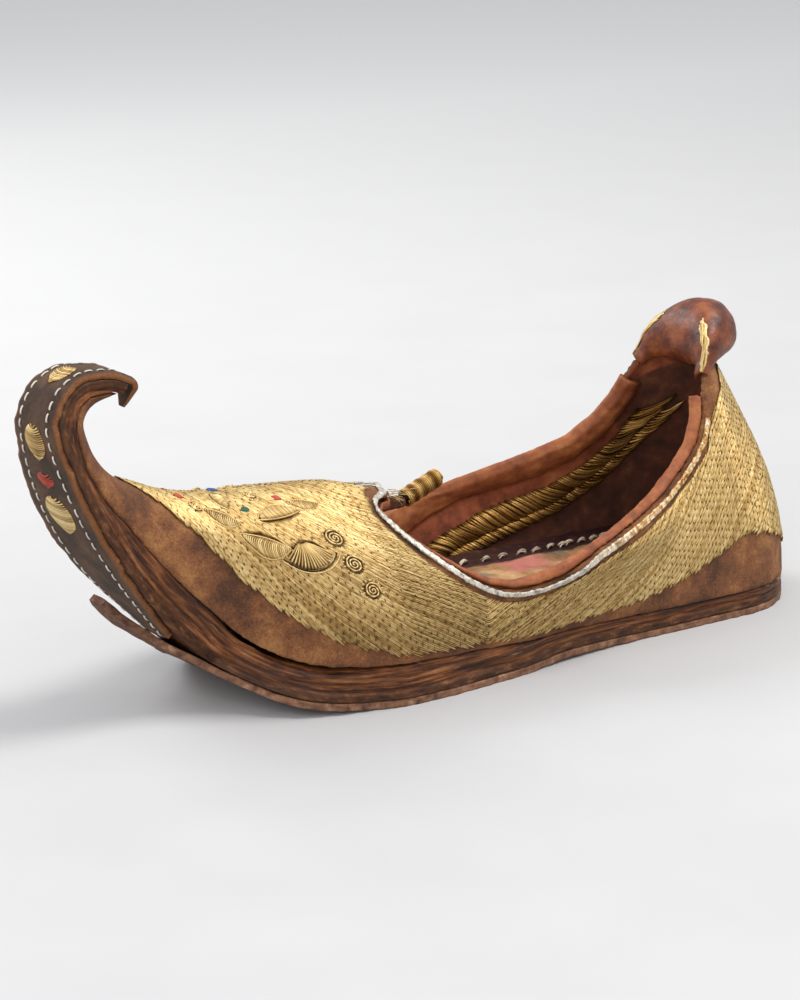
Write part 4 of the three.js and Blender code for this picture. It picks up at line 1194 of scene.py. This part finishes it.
def fan(strands, place, side):
    """Ribs spread from one point inside a dark rim."""
    angle = np.radians(np.linspace(-0.5, 0.5, 17) * place["wide"])[:, None]
    reach = np.linspace(0.16, 1, 9)[None] * place["long"]
    lift = 0.5 + 0.7 * np.sin(np.pi * np.clip(reach / place["long"], 0, 1)) ** 0.7
    points, normals = figure_points(place, reach * np.cos(angle), reach * np.sin(angle), side, lift)
    shade = 0.6 + 0.12 * jitter((17, 1))
    strands.add_many(points, normals, 0.1 + 0.035 * reach, 0.36, shade, 4, 0.5)
    for scale, tone in ((1.06, 0.15), (1.14, 0.6), (0.55, 0.75)):
        bend = np.radians(np.linspace(-0.56, 0.56, 24) * place["wide"])
        points, normals = figure_points(place, scale * place["long"] * np.cos(bend),
                                        scale * place["long"] * np.sin(bend), side, 0.7)
        strands.add(points, normals, 0.32, 0.4, tone, 4, 0.4)


def rosette(strands, place, side):
    """A cord wound in a spiral, with knots round its rim."""
    turn = np.linspace(0.4, 5.6 * np.pi, 70)
    reach = place["long"] * 0.4 * turn / turn[-1]
    points, normals = figure_points(place, reach * np.cos(turn), reach * np.sin(turn), side, 0.78)
    strands.add(points, normals, 0.32, 0.42, 0.62 + 0.15 * np.sin(turn * 6), 4, 0.55)
    knots = np.linspace(0, 2 * np.pi, 15)[:-1, None]
    reach = place["long"] * 0.5 + np.array([[-0.45, -0.15, 0.15, 0.45]])
    points, normals = figure_points(place, reach * np.cos(knots), reach * np.sin(knots), side, 0.62)
    strands.add_many(points, normals, np.array([0.15, 0.32, 0.32, 0.15]),
                     np.array([0.15, 0.3, 0.3, 0.15]), 0.62, 5, 0.4)


def figures(side, name):
    strands = Strands()
    makers = {"leaf": leaf, "fan": fan, "rosette": rosette}
    for place in FIGURES:
        makers[place["kind"]](strands, place, side)
    strands.finish(name, GILT, "upper")


def silk_ovals():
    looks = {"silk_blue": ("10203f", "2a5aa0"), "silk_red": ("6e1a12", "d24a30"),
             "silk_green": ("0f3028", "2f7a5e")}
    for colour, (low, high) in looks.items():
        strands = Strands()
        for word, row, share, turn in OVALS:
            if word != colour:
                continue
            place = {"row": row, "share": share, "turn": turn}
            k = np.linspace(-1, 1, 7)[:, None]
            t = np.linspace(-1, 1, 6)[None]
            u = t * OVAL_LENGTH / 2 * np.sqrt(1 - (0.86 * k) ** 2)
            for side in (1, -1):
                points, normals = figure_points(place, u, k * OVAL_WIDTH / 2, side,
                                                0.95 - 0.3 * t ** 2)
                strands.add_many(points, normals, 0.2, 0.25, 0.6, 4, 0.3)
        strands.finish(colour, plain_thread_look(colour, low, high, 0.45), "upper")


GILT = metal_thread_look("gilt_thread", "2e1c0c", "b08c50", "dfc68c", "fbeecb")
# Couching thread in near-black: a real stitch, coloured as painted shade of the stitch holes.
SHADE_DARK_COUCHING = plain_thread_look("couching_thread_painted_shade", "1a0f07", "5a3b1c")
for side, word in ((1, "near"), (-1, "far")):
    laid_threads(side, "gilt_" + word)
    figures(side, "gilt_figures_" + word)
silk_ovals()


# Places under the collar, for what lies on the inside of the wall
COLLAR_LINE = np.array([(from_heel(x), COLLAR_HEIGHT * z) for x, z in COLLAR[3:]])
COLLAR_PATH = walk(COLLAR_LINE)
COLLAR_RUN = COLLAR_PATH[-1]
INSIDE_END = 22.4


def halved(too_low, low, high):
    """Closes in on where too_low turns from true to false."""
    for _ in range(20):
        middle = (low + high) / 2
        below = too_low(middle)
        low, high = np.where(below, middle, low), np.where(below, high, middle)
    return low


def row_at(x, share):
    return halved(lambda row: section_point(row, share)[:, 0] < x,
                  np.zeros(len(x)), np.full(len(x), INSIDE_END))


def place_on_last(x, z):
    """Row and share of the near side where it has a given x and height."""
    share = np.full(len(x), 0.5)
    row = row_at(x, share)
    for _ in range(3):
        share = halved(lambda guess: section_point(row, guess)[:, 2] < z,
                       np.zeros(len(x)), np.ones(len(x)))
        row = row_at(x, share)
    return row, share


def under_collar(run, depth):
    """Places depth mm into the leather from the collar's edge, run mm along it from the tab."""
    step = 3
    x, z = (np.interp(run, COLLAR_PATH, line) for line in COLLAR_LINE.T)
    dx, dz = (np.interp(run + step, COLLAR_PATH, line) - np.interp(run - step, COLLAR_PATH, line)
              for line in COLLAR_LINE.T)
    size = np.hypot(dx, dz)
    return place_on_last((x + depth * dz / size).ravel(), (z - depth * dx / size).ravel())


BRAID_START = 4
BRAID_STOP = 33  # how far before the collar's end


def braid(name, top, bottom, lean, every, cords, thick, fall):
    """Slanted cords side by side along the inside of the wall.

    top and bottom: depths under the collar's edge. fall: how much deeper they lie at the throat.
    """
    strands = Strands()
    starts = np.arange(BRAID_START, COLLAR_RUN - BRAID_STOP, every)
    for cord in range(cords):
        run = starts[:, None] + cord * every / cords * 0.9
        t = np.linspace(0, 1, 7)[None]
        wobble = 0.3 * jitter((len(starts), 1))
        depth = top + (bottom - top) * t + wobble
        runs = run + lean * (t - 0.5) + 0.35 * np.sin(np.pi * t)
        depth = depth + fall * np.clip(runs / COLLAR_RUN - 0.3, 0, 1) ** 1.5
        row, share = under_collar(runs, depth)
        for side in (1, -1):
            hump = np.sin(np.pi * np.clip(t + 0 * runs, 0, 1)) ** 0.6
            rope = 0.35 * math.sin(math.pi * (cord + 0.5) / cords)
            lift = (-WALL - 0.35 - (thick + rope) * hump).ravel()
            points, normals = surface(row, side_share(share, side), lift)
            shape = runs.shape + (3,)
            strands.add_many(points.reshape(shape), -normals.reshape(shape), every / cords * 0.52,
                             0.42, 0.55 + 0.2 * jitter((len(starts), 1)), 5, 0.5)
    strands.finish(name, DARK_GILT, "upper")


DARK_GILT = metal_thread_look("braid_gilt", "1d0f06", "7c5524", "c39a54", "ffe9b4", 0.85)
braid("braid_upper", top=12.6, bottom=19.4, lean=-6.5, every=2.9, cords=4, thick=1.4, fall=12)
braid("braid_lower", top=19.0, bottom=23.2, lean=-4, every=2.4, cords=3, thick=1.3, fall=12)


STITCH_EVERY = 4.1
STITCH_LENGTH = 2.5
STITCH_ROW = 0.66  # share of the strip's half-width


def thong_stitches():
    """Two rows of pale thong stitches down the strip over the prow."""
    strands = Strands()
    sunk = 0.5 * (STITCH_ROW * 2 - 1)
    bottom, inward, half, _, run = strip_path()
    path = walk(bottom)
    for share in (STITCH_ROW, -STITCH_ROW):
        for start in np.arange(1.5, path[-1] - 16, STITCH_EVERY):
            stops = start + np.linspace(0, STITCH_LENGTH, 6) + 0.3 * jitter()
            pick = picker(stops, path)
            width = np.interp(stops, path, half)
            outward = -pick(inward)
            y = width * share + 0.15 * jitter()
            lift = 0.28 - sunk - 0.25 * np.linspace(-1, 1, 6) ** 4
            points = pick(bottom) + outward * lift[:, None]
            points[:, 1] = y
            strands.add(points, outward, 0.42, 0.22, 0.7 + 0.15 * jitter(), 5, 0.3)
    strands.finish("thong_stitches", plain_thread_look("thong", "6f6455", "e6dfcf", 0.75),
                   "toe_strip")


thong_stitches()


TOGGLE_TURNS = 24
END_TURNS = 5


def toggle_winding():
    """Gilt thread wound round the knob, with a pale coil on its end."""
    strands = Strands()
    root = np.array([from_heel(THROAT["tip"]) - TOGGLE_BACK, 0,
                     THROAT_HEIGHT - WALL - TOGGLE_DROP])
    axis = np.array([-math.cos(TOGGLE_RISE), 0, math.sin(TOGGLE_RISE)])
    side = np.array([0.0, 1, 0])
    over = np.cross(axis, side)
    around = lambda angle: np.cos(angle)[:, None] * side + np.sin(angle)[:, None] * over
    angle = np.linspace(0, TOGGLE_TURNS * 2 * np.pi, TOGGLE_TURNS * 14)
    along_axis = np.linspace(0.3, TOGGLE_LENGTH - 0.2, len(angle))
    bulge = TOGGLE_RADIUS + 0.55 + 0.25 * np.sin(along_axis * 1.1) ** 2
    radial = around(angle)
    points = root + along_axis[:, None] * axis + bulge[:, None] * radial
    strands.add(points, radial, 0.32, 0.3, 0.6 + 0.2 * np.sin(angle / 7), 4, 0.5)
    angle = np.linspace(0, END_TURNS * 2 * np.pi, END_TURNS * 14)
    reach = np.linspace(0.1, TOGGLE_RADIUS + 0.2, len(angle))[:, None]
    points = root + (TOGGLE_LENGTH + 0.1) * axis + reach * around(angle)
    strands.add(points, np.tile(axis, (len(angle), 1)), 0.26, 0.3, 0.85, 4, 0.4)
    strands.finish("toggle_thread", DARK_GILT, "toggle")


toggle_winding()


# Patches on the strip: middle and length in mm along it, and width as a share of its half-width
GILT_PATCHES = [(52, 12, 0.42), (76, 10, 0.42), (99, 8, 0.4)]
RED_PATCHES = [(64, 4, 0.3)]
PATCH_PITCH = 0.62


def strip_patches():
    """Small satin patches in gilt and red on the strip over the prow."""
    bottom, inward, half, _, _ = strip_path()
    path = walk(bottom)
    gilt, red = Strands(), Strands()
    t = np.linspace(-1, 1, 7)
    patches = [(gilt, *patch) for patch in GILT_PATCHES] + [(red, *patch) for patch in RED_PATCHES]
    for strands, middle, long, wide in patches:
        for stop in np.arange(middle - long / 2, middle + long / 2, PATCH_PITCH):
            reach = wide * np.sqrt(max(0.05, 1 - ((stop - middle) / (long / 2)) ** 2))
            stops = stop + 0.9 * t ** 2
            pick = picker(stops, path)
            points = pick(bottom) - pick(inward) * (0.25 - 0.2 * t ** 4)[:, None]
            points[:, 1] = np.interp(stops, path, half) * t * reach
            strands.add(points, -pick(inward), 0.3, 0.34, 0.6 + 0.2 * jitter(), 4, 0.5)
    gilt.finish("strip_gilt", GILT, "toe_strip")
    red.finish("strip_red", plain_thread_look("silk_strip", "6e1a12", "c04a34", 0.6), "toe_strip")


strip_patches()


KNOT_ROWS = (5.5, 15.5)
KNOTS = 27
KNOT_INSET = 12.5  # mm in from the wall
KNOT_LOOPS = 5


def tread_knots():
    """Whitish thread knots in a line along the tread's glossy border."""
    strands = Strands()
    rows = np.linspace(*KNOT_ROWS, KNOTS)
    s = station(rows)
    for side in (1, -1):
        for row, rim, half in zip(rows, s["rim"], s["half"]):
            x = rim[0] + 0.8 * jitter()
            y = side * (half - WALL - KNOT_INSET + 0.5 * jitter())
            z = max(16.5, rim[2] + 3) + 0.7
            for k in range(KNOT_LOOPS):
                turn = 0.25 + 0.35 * jitter()
                t = np.linspace(-1, 1, 6)
                points = np.stack([x + 1.9 * t * math.cos(turn) + 0.4 * k - 0.8,
                                   y + 1.6 * t * math.sin(turn) + 0.45 * (k - 2),
                                   z - 0.7 * t ** 2 + 0.25 * (k % 2)], 1)
                strands.add(points, np.tile((0, 0, 1.0), (6, 1)), 0.3, 0.3,
                            0.6 + 0.3 * jitter(), 4, 0.4)
    strands.finish("tread_knots", plain_thread_look("knot_thread", "5b4636", "d9c6ac", 0.6),
                   "insole")


tread_knots()


LOOSE_THREADS = 26


def loose_threads():
    """Frayed gilt ends at the corner of the tongue and on the knob."""
    strands = Strands()
    root = np.array([from_heel(THROAT["tip"]) - 2, 0, THROAT_HEIGHT - 2])
    for _ in range(LOOSE_THREADS):
        start = root + jitter(3) * (4, 3.5, 0.8)
        reach = jitter(3) * (5, 3, 1.6) + (-3, 1, -1.2)
        t = np.linspace(0, 1, 10)[:, None]
        curl = np.sin(t * 5 + rng.uniform(0, 6)) * rng.uniform(0.3, 0.9)
        points = start + reach * t + curl * np.array([[0.2, 1, 0.5]]) * t
        strands.add(points, np.tile((0, 0, 1.0), (10, 1)), 0.11, 0.11, 0.6, 4, 0.3)
    strands.finish("loose_gilt", GILT, "toggle")


loose_threads()


HOOD_PATCH_ROW = 4.95
HOOD_PATCH_TOP = 0.9
HOOD_PATCH_THREADS = 11


def hood_patch():
    """A gilt patch laid down each flap of the hood, in bent threads."""
    hood = bpy.data.objects["hood_leather"].data
    tree = BVHTree.FromPolygons(points_of(hood).tolist(), [p.vertices[:] for p in hood.polygons])
    strands = Strands()
    t = np.linspace(0, 1, 22)
    for side in (1, -1):
        for k in range(HOOD_PATCH_THREADS):
            row = HOOD_PATCH_ROW + 0.045 * k + 0.15 * t + 0.05 * np.sin(16 * t + k)
            high = HOOD_PATCH_TOP - 0.012 * rng.uniform() - (0.13 + 0.02 * rng.uniform()) * t
            outside, _ = surface(row, side_share(high, side), 6)
            path, away = [], []
            for spot in outside:
                near, normal, _, _ = tree.find_nearest(Vector(spot))
                away.append(np.array(normal))
                path.append(np.array(near) + 0.1 * away[-1])
            strands.add(np.array(path), np.array(away), 0.36, 0.2,
                        0.55 + 0.25 * jitter(), 4, 0.45)
    strands.finish("hood_gilt", GILT, "heel_cap")


hood_patch()


# Stage, light and camera
AIM = Vector((0.1234, 0.0023, 0.0504))
CAMERA_DISTANCE = 0.98
AZIMUTH, ELEVATION = math.radians(143.5), math.radians(15)
LENS = 114


def stage():
    look = Look("floor", Roughness=0.75)
    where = look.node("SeparateXYZ", 1, {"Vector": look.place()})
    grain = look.noise(60, 3, 0.5)
    near = look.ramp(grain, (0.3, "b9b9ba"), (0.7, "bdbdbe"))
    # Painted light: the floor is painted brighter away from the camera, from the grey near the shoe
    # to dcdcdc far off.
    look.colour(look.mix(look.span(where, -0.1, -1.0), near, rgb("dcdcdc")))
    size = 6000
    corners = [(-size, -size, 0), (size, -size, 0), (size, size, 0), (-size, size, 0)]
    floor = make_mesh("floor", corners, [[(0, 1, 2, 3)]])
    floor.data.materials.append(look.material)


def area_light(name, place, size, power, colour=(1, 1, 1)):
    lamp = bpy.data.lights.new(name, "AREA")
    lamp.size = size
    lamp.energy = power
    lamp.color = colour
    holder = bpy.data.objects.new(name, lamp)
    bpy.context.scene.collection.objects.link(holder)
    holder.location = place
    holder.rotation_mode = "QUATERNION"
    holder.rotation_quaternion = (AIM - Vector(place)).to_track_quat("-Z", "Y")


def camera():
    back = Vector((math.sin(AZIMUTH) * math.cos(ELEVATION),
                   -math.cos(AZIMUTH) * math.cos(ELEVATION), math.sin(ELEVATION)))
    lens = bpy.data.cameras.new("camera")
    lens.lens = LENS
    lens.sensor_width = 36
    lens.clip_start, lens.clip_end = 0.05, 30
    holder = bpy.data.objects.new("camera", lens)
    bpy.context.scene.collection.objects.link(holder)
    holder.location = AIM + back * CAMERA_DISTANCE
    holder.rotation_mode = "QUATERNION"
    holder.rotation_quaternion = back.to_track_quat("Z", "Y")
    bpy.context.scene.camera = holder


def sky():
    world = bpy.data.worlds.new("studio")
    world.use_nodes = True
    ground = world.node_tree.nodes["Background"]
    ground.inputs["Color"].default_value = (0.97, 0.98, 1, 1)
    ground.inputs["Strength"].default_value = 0.73
    bpy.context.scene.world = world


stage()
sky()
area_light("key", (-0.35, 0.35, 1.15), 0.5, 11.5, (1, 0.98, 0.95))
area_light("fill", (0.95, 0.75, 0.55), 0.9, 6, (0.97, 0.98, 1))
area_light("rim", (0.5, -0.95, 0.8), 0.6, 8)
bpy.context.scene.view_settings.view_transform = "Standard"
camera()
